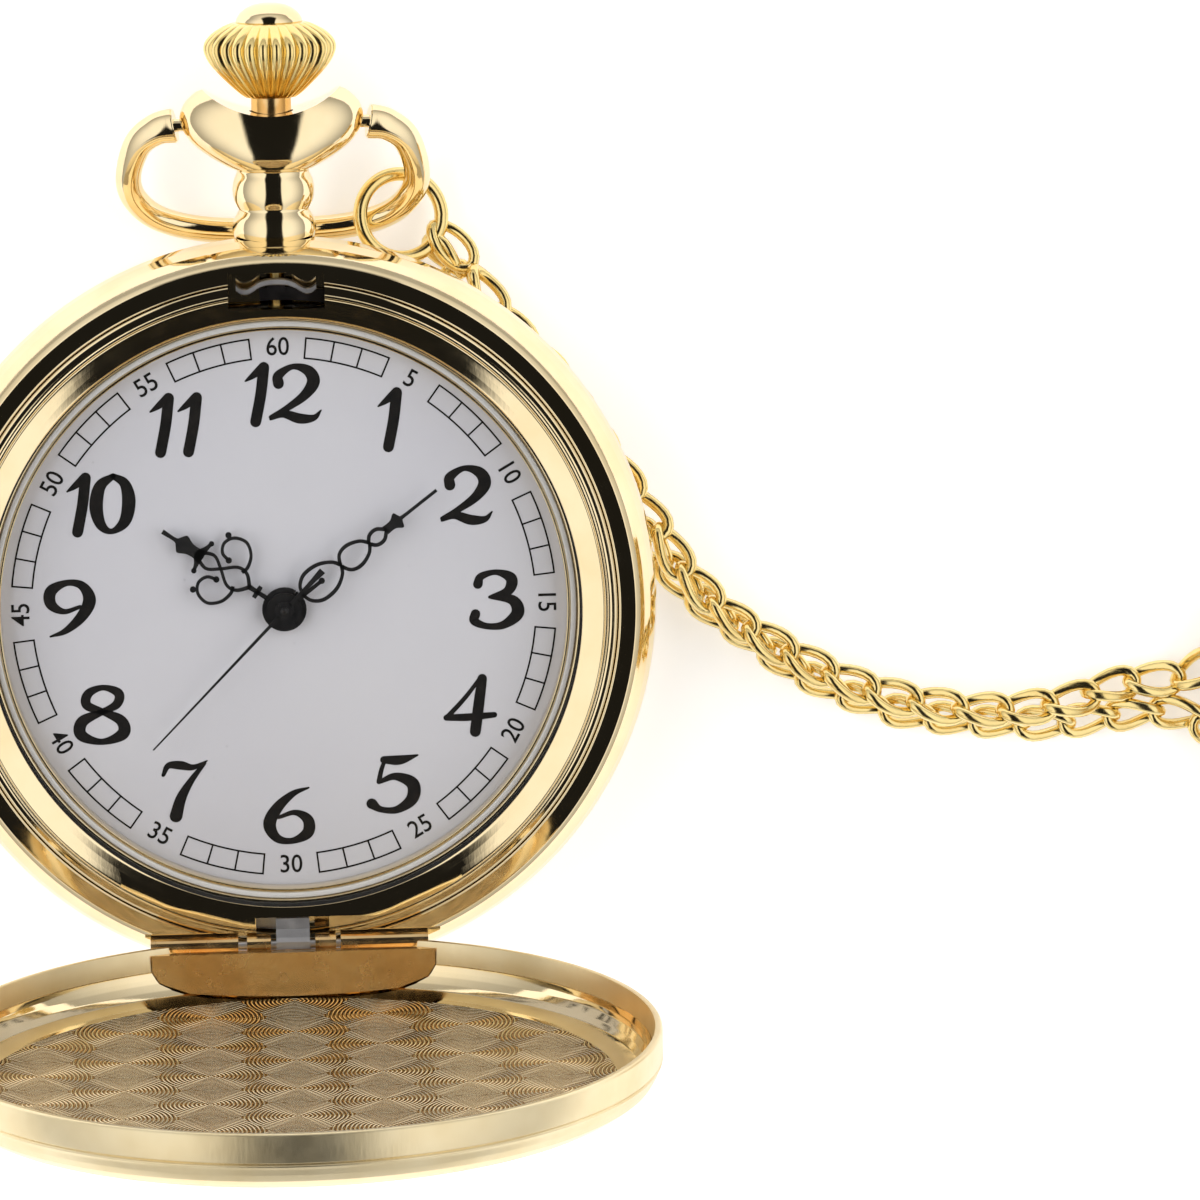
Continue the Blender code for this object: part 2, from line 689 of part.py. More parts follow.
def make_crown():
    """An onion crown with flutes and a domed cap, on the setting stem."""
    pivot = empty("crown_pivot", (0, 32, PENDANT_Z), WATCH)
    onion = [(32.1, 1.75), (32.8, 2.2), (33.7, 3.0), (34.6, 3.8), (35.2, 4.15), (35.7, 4.02), (36.3, 3.3)]
    rings = [fluted_ring(y, radius, FLUTE_DEPTH) for y, radius in onion]
    rings.append(fluted_ring(36.75, 2.45, 0.02))
    crown = loft("crown", rings, GOLD, pivot)
    neck = rod("crown_neck", 1.25, (0, 29.5, PENDANT_Z), (0, 33, PENDANT_Z), None, pivot, 24)
    join(crown, neck)
    hole = rod("crown_hole_cutter", 0.56, (0, 29, PENDANT_Z), (0, 34, PENDANT_Z), None, pivot, 16)
    cut(crown, as_cutter(hole))
    dome = [(0, 38.0), (0.8, 37.9), (1.45, 37.6), (1.92, 37.2), (2.1, 36.8), (0, 36.8)]
    cap = lathe("crown_cap", dome, GOLD, pivot, steps=32, along_y=True)
    cap.location = (0, -pivot.location.y, 0)
    stem = rod("stem", 0.5, (0, 9.95, PENDANT_Z), (0, 33.9, PENDANT_Z), STEEL, pivot, 16)
    join(stem, rod("stem_square", 0.27, (0, 7.15, PENDANT_Z), (0, 10.3, PENDANT_Z), None, pivot, 12))
    lever = box("setting_lever", (-0.9, 10.6, -2.1), (0.9, 10.9, -0.55), STEEL)
    cut(lever, as_cutter(rod("lever_fork_cutter", 0.55, (0, 10, PENDANT_Z), (0, 12, PENDANT_Z), segments=16)))


# ---------------------------------------------------------------- hands

HOUR_HAND = (0.62, 0.80)
MINUTE_HAND = (1.0, 1.16)
SECOND_HAND = (1.36, 1.48)


def hand(name, outline, holes, levels, clock_angle, pivot):
    """A flat hand drawn pointing to 12 and turned to its time."""
    turn = radians(90 - clock_angle)

    def turned(points):
        return [(y * cos(turn) + x * sin(turn), y * sin(turn) - x * cos(turn)) for x, y in points]

    return flat(name, [turned(outline)] + [turned(hole) for hole in holes], *levels, BLACK_PAINT, pivot)


def mirrored(side):
    """Closes a right-hand outline with its mirror image."""
    return side + [(-x, y) for x, y in reversed(side) if abs(x) > 1e-6]


def make_hands(hour_pivot, minute_pivot, second_pivot):
    hour_side = arc(1.3, -90, 60, 12) + [(0.42, 1.5), (0.42, 2.0)]
    hour_side += arc(0.95, -60, 60, 8, (0, 2.9)) + [(0.36, 4.0), (0.36, 4.3)]
    hour_side += [(1.15, 4.9), (1.45, 5.6), (0.75, 6.3), (0.3, 6.6), (0.25, 7.4), (0.0, 8.9)]
    hand("hour_hand", mirrored(hour_side), [circle(0.84, 24), circle(0.5, 16, (0, 2.9))], HOUR_HAND,
         HOUR_ANGLE, hour_pivot)
    minute_side = arc(1.15, -90, 60, 12) + [(0.35, 1.4), (0.35, 1.9)]
    minute_side += arc(1.0, -60, 60, 8, (0, 2.9)) + [(0.3, 3.9), (0.3, 4.3)]
    minute_side += arc(0.7, -60, 60, 8, (0, 5.0)) + [(0.28, 5.8), (0.75, 6.5), (0.75, 7.2), (0.28, 7.9)]
    minute_side += [(0.2, 8.4), (0.0, 12.3)]
    holes = [circle(0.5, 24), circle(0.58, 16, (0, 2.9)), circle(0.32, 12, (0, 5.0))]
    hand("minute_hand", mirrored(minute_side), holes, MINUTE_HAND, MINUTE_ANGLE, minute_pivot)
    second_side = [(0.28, -3.5), (0.16, -2.2)] + arc(0.62, -75, 75, 10) + [(0.13, 1.2), (0.08, 12.1)]
    hand("second_hand", mirrored(second_side), [circle(0.185, 16)], SECOND_HAND, SECOND_ANGLE, second_pivot)


# ---------------------------------------------------------------- movement

CENTRE = (0, 0)
THIRD = polar(2.805, 200)
FIFTH = polar(2.88, -30)
ROTOR = polar(2.52, 10, FIFTH)
MINUTE_WHEEL = polar(2.88, 100)
SETTING_WHEEL = polar(3.24, 100, MINUTE_WHEEL)


def arbor(name, place, radius, low, high, pivot):
    return rod(name, radius, (*place, low), (*place, high), None, pivot, 10)


def gear(name, place, teeth, module, phase, low, high, material, pivot, hole=None):
    outlines = [gear_outline(teeth, module, phase)]
    if hole:
        outlines.append(circle(hole, 20))
    return flat(name, outlines, low, high, material, pivot, place)


def make_time_train():
    """Rotor, fifth, fourth (seconds), third and centre wheels, in four layers under the main plate."""
    second_pivot = empty("second_pivot", (0, 0, 0), WATCH)
    fourth = gear("fourth_wheel", CENTRE, 30, 0.16, 0, -3.35, -3.15, BRASS, second_pivot)
    fourth_pinion = gear("fourth_pinion", CENTRE, 6, 0.11, 0, -3.16, -2.7, None, second_pivot)
    join(fourth, fourth_pinion, arbor("fourth_arbor", CENTRE, 0.15, -3.85, 1.56, second_pivot))

    third_pivot = empty("third_pivot", (*THIRD, -3), WATCH)
    third_phase = meshing_phase(CENTRE, 6, 0, THIRD, 45)
    third = gear("third_wheel", THIRD, 45, 0.11, third_phase, -2.95, -2.75, BRASS, third_pivot)
    third_pinion = gear("third_pinion", THIRD, 6, 0.10389, 0, -2.76, -2.3, None, third_pivot)
    join(third, third_pinion, arbor("third_arbor", THIRD, 0.12, -3.85, -1.6, third_pivot))

    centre_pivot = empty("centre_pivot", (0, 0, -2.5), WATCH)
    centre_phase = meshing_phase(THIRD, 6, 0, CENTRE, 48)
    gear("centre_wheel", CENTRE, 48, 0.10389, centre_phase, -2.55, -2.35, BRASS, centre_pivot, 0.5)

    fifth_pivot = empty("fifth_pivot", (*FIFTH, -3), WATCH)
    fifth_phase = meshing_phase(CENTRE, 30, 0, FIFTH, 6)
    fifth = gear("fifth_wheel", FIFTH, 36, 0.12, 0, -3.75, -3.55, WHITE_PLASTIC, fifth_pivot)
    fifth_pinion = gear("fifth_pinion", FIFTH, 6, 0.16, fifth_phase, -3.56, -3.05, None, fifth_pivot)
    join(fifth, fifth_pinion, arbor("fifth_arbor", FIFTH, 0.12, -3.85, -1.6, fifth_pivot))

    rotor_pivot = empty("rotor_pivot", (*ROTOR, -3), WATCH)
    rotor_phase = meshing_phase(FIFTH, 36, 0, ROTOR, 6)
    magnet = rod("rotor", 0.62, (*ROTOR, -3.3), (*ROTOR, -2.85), STEEL, rotor_pivot, 20)
    rotor_pinion = gear("rotor_pinion", ROTOR, 6, 0.12, rotor_phase, -3.77, -3.2, None, rotor_pivot)
    join(magnet, rotor_pinion, arbor("rotor_arbor", ROTOR, 0.1, -3.85, -1.6, rotor_pivot))
    return second_pivot


def make_motion_works():
    """Cannon pinion, minute wheel, hour wheel and setting wheel, between the main plate and the dial."""
    minute_pivot = empty("minute_pivot", (0, 0, 0.5), WATCH)
    cannon = gear("cannon_pinion", CENTRE, 12, 0.12, 0, -1.2, -0.95, BRASS, minute_pivot)
    cannon_tube = rod("cannon_tube", 0.45, (0, 0, -2.62), (0, 0, 1.2), None, minute_pivot, 20)
    cannon_bore = rod("cannon_bore_cutter", 0.2, (0, 0, -3), (0, 0, 2), None, minute_pivot, 16)
    join(cannon, cannon_tube)
    cut(cannon, as_cutter(cannon_bore))

    wheel_pivot = empty("minute_wheel_pivot", (*MINUTE_WHEEL, -1), WATCH)
    wheel_phase = meshing_phase(CENTRE, 12, 0, MINUTE_WHEEL, 36)
    wheel = gear("minute_wheel", MINUTE_WHEEL, 36, 0.12, wheel_phase, -1.18, -0.98, BRASS, wheel_pivot)
    pinion = gear("minute_pinion", MINUTE_WHEEL, 8, 0.144, 0, -0.99, -0.55, None, wheel_pivot)
    join(wheel, pinion, arbor("minute_arbor", MINUTE_WHEEL, 0.14, -1.8, -0.5, wheel_pivot))

    hour_pivot = empty("hour_pivot", (0, 0, 0.3), WATCH)
    hour_phase = meshing_phase(MINUTE_WHEEL, 8, 0, CENTRE, 32)
    hour = gear("hour_wheel", CENTRE, 32, 0.144, hour_phase, -0.85, -0.65, BRASS, hour_pivot)
    hour_tube = rod("hour_tube", 0.8, (0, 0, -0.84), (0, 0, 0.9), None, hour_pivot, 24)
    hour_bore = rod("hour_bore_cutter", 0.52, (0, 0, -2), (0, 0, 2), None, hour_pivot, 20)
    join(hour, hour_tube)
    cut(hour, as_cutter(hour_bore))

    setting_pivot = empty("setting_pivot", (*SETTING_WHEEL, -1), WATCH)
    setting_phase = meshing_phase(MINUTE_WHEEL, 36, wheel_phase, SETTING_WHEEL, 18)
    setting = gear("setting_wheel", SETTING_WHEEL, 18, 0.12, setting_phase, -1.18, -0.95, BRASS, setting_pivot)
    join(setting, arbor("setting_arbor", SETTING_WHEEL, 0.2, -1.8, -0.7, setting_pivot))

    stem_gear_pivot = empty("sliding_pivot", (0, 9, PENDANT_Z), WATCH)
    sliding = flat("sliding_pinion", [gear_outline(12, 0.11, 0), circle(0.31, 12)], -0.4, 0.4, BRASS, stem_gear_pivot)
    sliding.location = (0, -1.35 * MM, 0)
    sliding.rotation_euler.x = radians(-90)
    return hour_pivot, minute_pivot


def make_plates():
    """The movement's fixed parts, from the holder ring in to the battery."""
    channel = as_cutter(box("stem_channel_cutter", (-1.15, 6.4, -2.35), (1.15, 20, 0.5)))
    holder = disc_ring("movement_holder", 13.5, 18.9, -3.9, -0.5, WHITE_PLASTIC, steps=RING_STEPS)
    cut(holder, channel)

    plate_holes = [
        (CENTRE, 0.55),
        (THIRD, 0.17),
        (FIFTH, 0.17),
        (ROTOR, 0.15),
        (MINUTE_WHEEL, 0.19),
        (SETTING_WHEEL, 0.25),
    ]
    outlines = [circle(13.3, 48)] + [circle(r, 12, place) for place, r in plate_holes]
    plate = flat("main_plate", outlines, -2.2, -1.3, BRASS)
    cut(plate, channel)

    battery_place = polar(8.6, 240)
    rod("battery", 3.4, (*battery_place, -4.9), (*battery_place, -2.3), STEEL, segments=40)
    clamp_outline = [(-7.9, -9.4), (-0.2, -7.7), (-0.4, -6.6), (-8.1, -8.2)]
    clamp = flat("battery_clamp", [clamp_outline], -5.2, -4.98, STEEL)
    foot = box("clamp_foot", (-0.85, -7.6, -5.1), (-0.45, -7.0, -4.3))
    join(clamp, foot)

    bridge = [(-4.2, -2.9), (7.2, -3.9), (8.0, 1.0), (4.5, 3.2), (-4.6, 3.2)]
    bridge_holes = [circle(r, 12, place) for place, r in ((CENTRE, 0.2), (THIRD, 0.17), (FIFTH, 0.17), (ROTOR, 0.15))]
    flat("train_bridge", [bridge] + bridge_holes, -4.2, -3.82, STEEL)

    board = arc(12.9, -15, 175, 26) + [(-9.0, 4.2), (9.2, 4.4)]
    board_hole = circle(0.45, 12, (-7.5, 8.2))
    flat("circuit_board", [board, board_hole], -3.1, -2.75, BOARD_GREEN)
    box("timing_chip", (-4.2, 6.2, -3.75), (-1.4, 8.6, -3.14), BLACK_PLASTIC)
    rod("quartz_can", 0.75, (2.2, 9.6, -3.95), (7.6, 7.6, -3.95), STEEL, segments=20)

    stator_hole = circle(0.86, 24, ROTOR)
    stator = [(3.2, -2.2), (10.8, -4.6), (11.6, -2.6), (7.4, 1.1), (3.6, 1.0)]
    flat("stator", [stator, stator_hole], -3.12, -2.98, STEEL)
    coil_start, coil_end = (5.6, -9.4), (11.2, -5.4)
    rod("coil_core", 0.4, (*coil_start, -3.9), (*coil_end, -3.9), STEEL, segments=12)
    span = Vector(coil_end) - Vector(coil_start)
    wound_from = Vector(coil_start) + span * 0.14
    wound_to = Vector(coil_start) + span * 0.86
    winding = rod("coil_winding", 1.15, (*wound_from, -3.9), (*wound_to, -3.9), COPPER, segments=24)
    coil_hole = rod("coil_hole_cutter", 0.45, (*coil_start, -3.9), (*coil_end, -3.9), segments=12)
    cut(winding, as_cutter(coil_hole))
    screw_at = (-7.5, 8.2)
    head = rod("movement_screw", 0.7, (*screw_at, -3.5), (*screw_at, -3.14), STEEL, segments=20)
    shank = rod("movement_screw_shank", 0.38, (*screw_at, -3.2), (*screw_at, -2.24), segments=12)
    slot = box("movement_screw_slot_cutter", (-8.3, 8.12, -3.7), (-6.7, 8.28, -3.35))
    join(head, shank)
    cut(head, as_cutter(slot))


# ---------------------------------------------------------------- necklace chain

FLOOR_Z = TABLE + CHAIN_RADIUS + 0.02
OVER_Z = FLOOR_Z + 1.55
COIL_CENTER = (75.6, -8.3)
COIL_INNER, COIL_OUTER = 9.7, 14.4
COIL_HEIGHT = 8.5

# From the jump ring, under the case's edge, out to the right and to the coil
LOWER_ROUTE = [
    (11.3, 20.5, FLOOR_Z),
    (12.55, 17.8, FLOOR_Z),
    (14.4, 15.3, FLOOR_Z),
    (16.9, 12.3, FLOOR_Z),
    (18.9, 9.0, FLOOR_Z),
    (20.7, 6.2, FLOOR_Z),
    (22.6, 3.7, FLOOR_Z),
    (24.6, 1.1, FLOOR_Z),
    (27.0, -1.5, FLOOR_Z),
    (30.1, -3.9, FLOOR_Z),
    (34.0, -6.6, FLOOR_Z),
    (38.5, -8.5, FLOOR_Z),
    (43.0, -9.4, FLOOR_Z),
    (48.9, -9.8, FLOOR_Z),
    (53.5, -9.4, FLOOR_Z),
    (57.4, -9.4, FLOOR_Z),
    (59.9, -11.0, FLOOR_Z),
]
UPPER_ROUTE = [
    (12.6, 20.4, FLOOR_Z + 1.65),
    (13.95, 18.0, FLOOR_Z + 1.58),
    (15.65, 15.8, FLOOR_Z + 1.4),
    (18.1, 12.9, FLOOR_Z + 1.38),
    (20.15, 9.5, FLOOR_Z + 1.38),
    (21.95, 6.8, FLOOR_Z + 1.5),
    (23.6, 4.3, OVER_Z + 0.2),
    (25.5, 1.1, OVER_Z + 0.3),
    (28.0, -1.6, OVER_Z + 0.3),
    (31.2, -3.9, OVER_Z + 0.3),
    (35.4, -6.2, OVER_Z + 0.3),
    (40.0, -7.8, OVER_Z + 0.3),
    (45.0, -8.5, OVER_Z + 0.3),
    (49.6, -8.2, OVER_Z),
    (53.5, -7.3, FLOOR_Z + 0.3),
    (57.4, -6.9, FLOOR_Z + 0.3),
    (59.9, -5.4, FLOOR_Z + 1.6),
]


def make_chain():
    """Two strands lie over each other and part before the coil."""
    tube("chain_strand_lower", spline_through(LOWER_ROUTE, 34), CHAIN_RADIUS, GOLD)
    tube("chain_strand_upper", spline_through(UPPER_ROUTE, 34), CHAIN_RADIUS, GOLD)
    coil = disc_ring("chain_coil", COIL_INNER, COIL_OUTER, TABLE + 0.02, TABLE + COIL_HEIGHT, GOLD, steps=40)
    coil.location = Vector((*COIL_CENTER, 0)) * MM


# ---------------------------------------------------------------- build

make_bezel(*make_band())
make_back()
make_glass_and_dial()
make_springs()
make_case_hinge()
make_lid()
make_pendant()
make_bow()
make_jump_ring()
make_crown()
second_pivot = make_time_train()
hour_pivot, minute_pivot = make_motion_works()
make_hands(hour_pivot, minute_pivot, second_pivot)
make_plates()
make_chain()
bpy.context.view_layer.update()
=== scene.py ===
import json
from math import cos, pi, radians, sin

import bmesh
import bpy
from mathutils import Matrix, Vector


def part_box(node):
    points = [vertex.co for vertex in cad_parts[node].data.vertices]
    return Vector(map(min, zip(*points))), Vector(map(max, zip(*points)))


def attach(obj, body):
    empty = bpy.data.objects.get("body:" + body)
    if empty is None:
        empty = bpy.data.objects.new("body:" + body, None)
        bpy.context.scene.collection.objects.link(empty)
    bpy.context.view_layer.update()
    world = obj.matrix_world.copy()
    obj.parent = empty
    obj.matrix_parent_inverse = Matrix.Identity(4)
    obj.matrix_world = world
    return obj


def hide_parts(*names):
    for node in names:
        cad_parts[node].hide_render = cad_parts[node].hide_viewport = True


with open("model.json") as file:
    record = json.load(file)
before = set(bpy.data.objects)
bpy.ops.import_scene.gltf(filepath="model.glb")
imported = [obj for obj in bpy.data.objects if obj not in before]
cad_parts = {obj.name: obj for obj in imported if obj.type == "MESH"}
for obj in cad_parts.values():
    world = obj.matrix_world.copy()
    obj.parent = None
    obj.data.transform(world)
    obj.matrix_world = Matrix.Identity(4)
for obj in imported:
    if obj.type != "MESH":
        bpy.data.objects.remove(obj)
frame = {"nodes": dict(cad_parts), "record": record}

for startup in ("Cube", "Light", "Camera"):
    if startup in bpy.data.objects:
        bpy.data.objects.remove(bpy.data.objects[startup], do_unlink=True)

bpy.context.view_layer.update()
NODES = frame["nodes"]
TURN = 2 * pi

# The dial's frame: millimetres from the middle of the dial's face, x to 3 o'clock, y to 12, z up.
dial_low, dial_high = (Vector(c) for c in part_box("dial"))
ORIGIN = Vector(((dial_low.x + dial_high.x) / 2, (dial_low.y + dial_high.y) / 2, dial_high.z))
PLACE = Matrix.Translation(ORIGIN) @ Matrix.Scale(0.001, 4)
TABLE = -ORIGIN.z * 1000


def at(point):
    return PLACE @ Vector(point)


# ------------------------------------------------------------------ camera

CAMERA_PLACE = Vector((-0.734, 70.31, 429.153))
CAMERA_AIM = Vector((19.898, -0.055, 0.0))
WATCH_TURN = radians(1.0586)
LENS, SENSOR = 207.06, 36.0


def camera_axes():
    """The camera's right, up and back directions. Up leans by the watch's turn from 12 o'clock."""
    back = (CAMERA_PLACE - CAMERA_AIM).normalized()
    right = Vector((sin(WATCH_TURN), cos(WATCH_TURN), 0)).cross(back).normalized()
    return Matrix((right, back.cross(right), back)).transposed()


camera = bpy.data.objects.new("camera", bpy.data.cameras.new("camera"))
bpy.context.scene.collection.objects.link(camera)
bpy.context.scene.camera = camera
camera.data.lens = LENS
camera.data.sensor_width = SENSOR
camera.data.clip_start = 0.01
camera.data.clip_end = 20.0
camera.matrix_world = Matrix.Translation(at(CAMERA_PLACE)) @ camera_axes().to_4x4()


# ------------------------------------------------------------------ mesh helpers


def finish_piece(name, mesh, body, material, replaced=()):
    """An object from the mesh, riding the body and standing for the replaced nodes."""
    piece = bpy.data.objects.new(name, mesh)
    bpy.context.scene.collection.objects.link(piece)
    for one in material if isinstance(material, (list, tuple)) else [material]:
        mesh.materials.append(one)
    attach(piece, body)
    if replaced:
        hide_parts(*replaced)
    return piece


def mesh_from(name, build, angle=40, transform=PLACE):
    """A mesh from the bmesh, placed in the world, with its faces outward and its sharp edges marked."""
    build.normal_update()
    bmesh.ops.recalc_face_normals(build, faces=build.faces)
    if build.calc_volume(signed=True) < 0:
        bmesh.ops.reverse_faces(build, faces=build.faces)
    build.transform(transform)
    mesh = bpy.data.meshes.new(name)
    build.to_mesh(mesh)
    build.free()
    mesh.shade_smooth()
    mesh.set_sharp_from_angle(angle=radians(angle))
    return mesh


def curve_points(route, per_span):
    """Points on the Catmull-Rom curve through the route. Each entry may hold any count of numbers."""
    route = [Vector(p) for p in route]
    route = [2 * route[0] - route[1], *route, 2 * route[-1] - route[-2]]
    points = []
    for i in range(len(route) - 3):
        a, b, c, d = route[i : i + 4]
        for k in range(per_span):
            t = k / per_span
            bend = (2 * a - 5 * b + 4 * c - d) * t**2 + (3 * b - a - 3 * c + d) * t**3
            points.append(0.5 * (2 * b + (c - a) * t + bend))
    points.append(route[-2].copy())
    return points


def rounded(profile, radius=0.06, closed=False):
    """The profile with each corner turned into a short curve."""
    result = []
    count = len(profile)
    for i, point in enumerate(profile):
        if not closed and i in (0, count - 1):
            result.append(tuple(point))
            continue
        before, here, after = (Vector(profile[k % count]) for k in (i - 1, i, i + 1))
        to_before, to_after = before - here, after - here
        reach = min(radius, to_before.length * 0.42, to_after.length * 0.42)
        start = here + to_before.normalized() * reach
        end = here + to_after.normalized() * reach
        for t in (0.0, 0.5, 1.0):
            result.append(tuple(start * (1 - t) ** 2 + here * 2 * t * (1 - t) + end * t**2))
    return result


def turned(profile, steps=160, closed=False):
    """A bmesh of revolution about z. Points with r = 0 close on the axis."""
    build = bmesh.new()
    rings = []
    for r, z in profile:
        angles = [0.0] if r < 1e-6 else [TURN * k / steps for k in range(steps)]
        rings.append([build.verts.new((r * cos(a), r * sin(a), z)) for a in angles])
    pairs = list(zip(rings, rings[1:])) + ([(rings[-1], rings[0])] if closed else [])
    for upper, lower in pairs:
        for k in range(steps):
            n = (k + 1) % steps
            if len(upper) == 1:
                build.faces.new((upper[0], lower[n], lower[k]))
            elif len(lower) == 1:
                build.faces.new((upper[k], upper[n], lower[0]))
            else:
                build.faces.new((upper[k], upper[n], lower[n], lower[k]))
    return build


def swept(build, path, radii, sides=14, closed=False):
    """Adds a round wire along the path. The cross-section doesn't twist."""
    count = len(path)
    rings = []
    normal = None
    for i, point in enumerate(path):
        if closed:
            tangent = path[(i + 1) % count] - path[i - 1]
        else:
            tangent = path[min(i + 1, count - 1)] - path[max(i - 1, 0)]
        tangent.normalize()
        if normal is None:
            normal = tangent.orthogonal()
        normal = (normal - tangent * normal.dot(tangent)).normalized()
        other = tangent.cross(normal)
        radius = radii[i] if isinstance(radii, (list, tuple)) else radii
        ring = []
        for s in range(sides):
            a = TURN * s / sides
            ring.append(build.verts.new(point + (normal * cos(a) + other * sin(a)) * radius))
        rings.append(ring)
    for i in range(count if closed else count - 1):
        ring, following = rings[i], rings[(i + 1) % count]
        shift = 0
        if closed and i == count - 1:
            gaps = [
                sum((ring[s].co - following[(s + k) % sides].co).length for s in range(sides))
                for k in range(sides)
            ]
            shift = gaps.index(min(gaps))
        for s in range(sides):
            t = (s + 1) % sides
            far, near = following[(t + shift) % sides], following[(s + shift) % sides]
            build.faces.new((ring[s], ring[t], far, near))
    if not closed:
        build.faces.new(rings[0][::-1])
        build.faces.new(rings[-1])


def skin_rings(build, rings):
    """Joins each ring of points to the next, and closes both ends."""
    sides = len(rings[0])
    for lower, upper in zip(rings, rings[1:]):
        for k in range(sides):
            n = (k + 1) % sides
            build.faces.new((lower[k], lower[n], upper[n], upper[k]))
    build.faces.new(rings[0])
    build.faces.new(rings[-1][::-1])


def box_mesh(build, low, high):
    low, high = Vector(low), Vector(high)
    size = Matrix.Diagonal((*(high - low), 1.0))
    bmesh.ops.create_cube(build, size=1.0, matrix=Matrix.Translation((low + high) / 2) @ size)


def carved(mesh, *cutter_builds, transform=PLACE, angle=40):
    """The mesh with the cutters' shapes removed."""
    body = bpy.data.objects.new("carving", mesh)
    bpy.context.scene.collection.objects.link(body)
    helpers = []
    for number, build in enumerate(cutter_builds):
        cutter = bpy.data.objects.new(f"cutter_{number}", mesh_from("cutter", build, transform=transform))
        bpy.context.scene.collection.objects.link(cutter)
        modifier = body.modifiers.new("cut", "BOOLEAN")
        modifier.operation = "DIFFERENCE"
        modifier.object = cutter
        helpers.append(cutter)
    bpy.context.view_layer.update()
    graph = bpy.context.evaluated_depsgraph_get()
    result = bpy.data.meshes.new_from_object(body.evaluated_get(graph))
    for thing in [body, *helpers]:
        bpy.data.objects.remove(thing, do_unlink=True)
    result.shade_smooth()
    result.set_sharp_from_angle(angle=radians(angle))
    result.materials.clear()
    return result


def box_build(low, high):
    build = bmesh.new()
    box_mesh(build, low, high)
    return build


def rod_build(radius, start, end, segments=48):
    start, end = Vector(start), Vector(end)
    build = bmesh.new()
    depth = (end - start).length
    bmesh.ops.create_cone(
        build, cap_ends=True, segments=segments, radius1=radius, radius2=radius, depth=depth
    )
    turn = (end - start).to_track_quat("Z", "Y").to_matrix().to_4x4()
    build.transform(Matrix.Translation((start + end) / 2) @ turn)
    return build


# ------------------------------------------------------------------ materials


def new_material(name, color, metallic, roughness, **sockets):
    material = bpy.data.materials.new(name)
    material.use_nodes = True
    shader = material.node_tree.nodes["Principled BSDF"]
    shader.inputs["Base Color"].default_value = (*color, 1.0)
    shader.inputs["Metallic"].default_value = metallic
    shader.inputs["Roughness"].default_value = roughness
    for socket, value in sockets.items():
        shader.inputs[socket.replace("_", " ")].default_value = value
    return material, material.node_tree, shader


def noise(tree, scale, detail=4.0, stretch=(1, 1, 1), roughness=0.55):
    place = tree.nodes.new("ShaderNodeTexCoord")
    mapping = tree.nodes.new("ShaderNodeMapping")
    mapping.inputs["Scale"].default_value = stretch
    texture = tree.nodes.new("ShaderNodeTexNoise")
    texture.inputs["Scale"].default_value = scale
    texture.inputs["Detail"].default_value = detail
    texture.inputs["Roughness"].default_value = roughness
    tree.links.new(place.outputs["Object"], mapping.inputs["Vector"])
    tree.links.new(mapping.outputs["Vector"], texture.inputs["Vector"])
    return texture.outputs["Fac"]


def ramp(tree, source, low, high, low_at=0.3, high_at=0.7):
    """A ramp between two colours, or between two plain values."""
    node = tree.nodes.new("ShaderNodeValToRGB")
    for stop, color, position in zip(node.color_ramp.elements, (low, high), (low_at, high_at)):
        stop.position = position
        stop.color = (*color, 1.0) if isinstance(color, tuple) else (color, color, color, 1.0)
    tree.links.new(source, node.inputs["Fac"])
    return node.outputs["Color"]


def bump(tree, shader, source, strength, distance, after=None):
    node = tree.nodes.new("ShaderNodeBump")
    node.inputs["Strength"].default_value = strength
    node.inputs["Distance"].default_value = distance
    tree.links.new(source, node.inputs["Height"])
    if after:
        tree.links.new(after.outputs["Normal"], node.inputs["Normal"])
    tree.links.new(node.outputs["Normal"], shader.inputs["Normal"])
    return node


def math_node(tree, operation, first, second=None):
    node = tree.nodes.new("ShaderNodeMath")
    node.operation = operation
    for slot_number, value in enumerate((first, second)):
        if value is None:
            continue
        if isinstance(value, (int, float)):
            node.inputs[slot_number].default_value = value
        else:
            tree.links.new(value, node.inputs[slot_number])
    return node.outputs[0]


def metal(name, pale, deep, roughness, wave=0.05, scratch=0.03, spread=0.05, scale=260.0):
    """Plated or bare metal with drifting tone, uneven polish, faint waviness and hairline scratches."""
    material, tree, shader = new_material(name, pale, 1.0, roughness)
    tree.links.new(ramp(tree, noise(tree, scale, 3.0), deep, pale, 0.25, 0.62), shader.inputs["Base Color"])
    patches = noise(tree, scale * 3.0, 5.0)
    tree.links.new(ramp(tree, patches, roughness, roughness + spread, 0.42, 0.8), shader.inputs["Roughness"])
    waves = bump(tree, shader, noise(tree, 420.0, 2.0), wave, 0.0001)
    bump(tree, shader, noise(tree, 5200.0, 3.0, (1.0, 0.16, 1.0)), scratch, 0.00003, waves)
    return material


GOLD = metal("polished_gold", (0.95, 0.79, 0.50), (0.90, 0.72, 0.42), 0.055)
GOLD_CAST = metal("cast_gold", (0.96, 0.68, 0.34), (0.82, 0.50, 0.20), 0.2, 0.5, 0.1, 0.16)
GOLD_SATIN = metal("satin_gold", (0.93, 0.79, 0.51), (0.86, 0.70, 0.41), 0.33, 0.1, 0.2, 0.07)
GOLD_CHAIN = metal("chain_gold", (0.97, 0.76, 0.33), (0.90, 0.66, 0.25), 0.16, 0.08, 0.06, 0.08)
STEEL = metal("bright_steel", (0.74, 0.73, 0.74), (0.60, 0.59, 0.60), 0.36, 0.1, 0.35, 0.16)
# Painted shade: this near-black steel colours the catch arc, standing in for the shadow inside the catch
# window.
SPRING_PAINTED_SHADE = metal("spring_steel_painted_shade", (0.10, 0.09, 0.09), (0.05, 0.05, 0.055), 0.3, 0.1, 0.3, 0.16)
BRASS = metal("machined_brass", (0.80, 0.62, 0.30), (0.70, 0.52, 0.22), 0.28, 0.05, 0.3, 0.14)
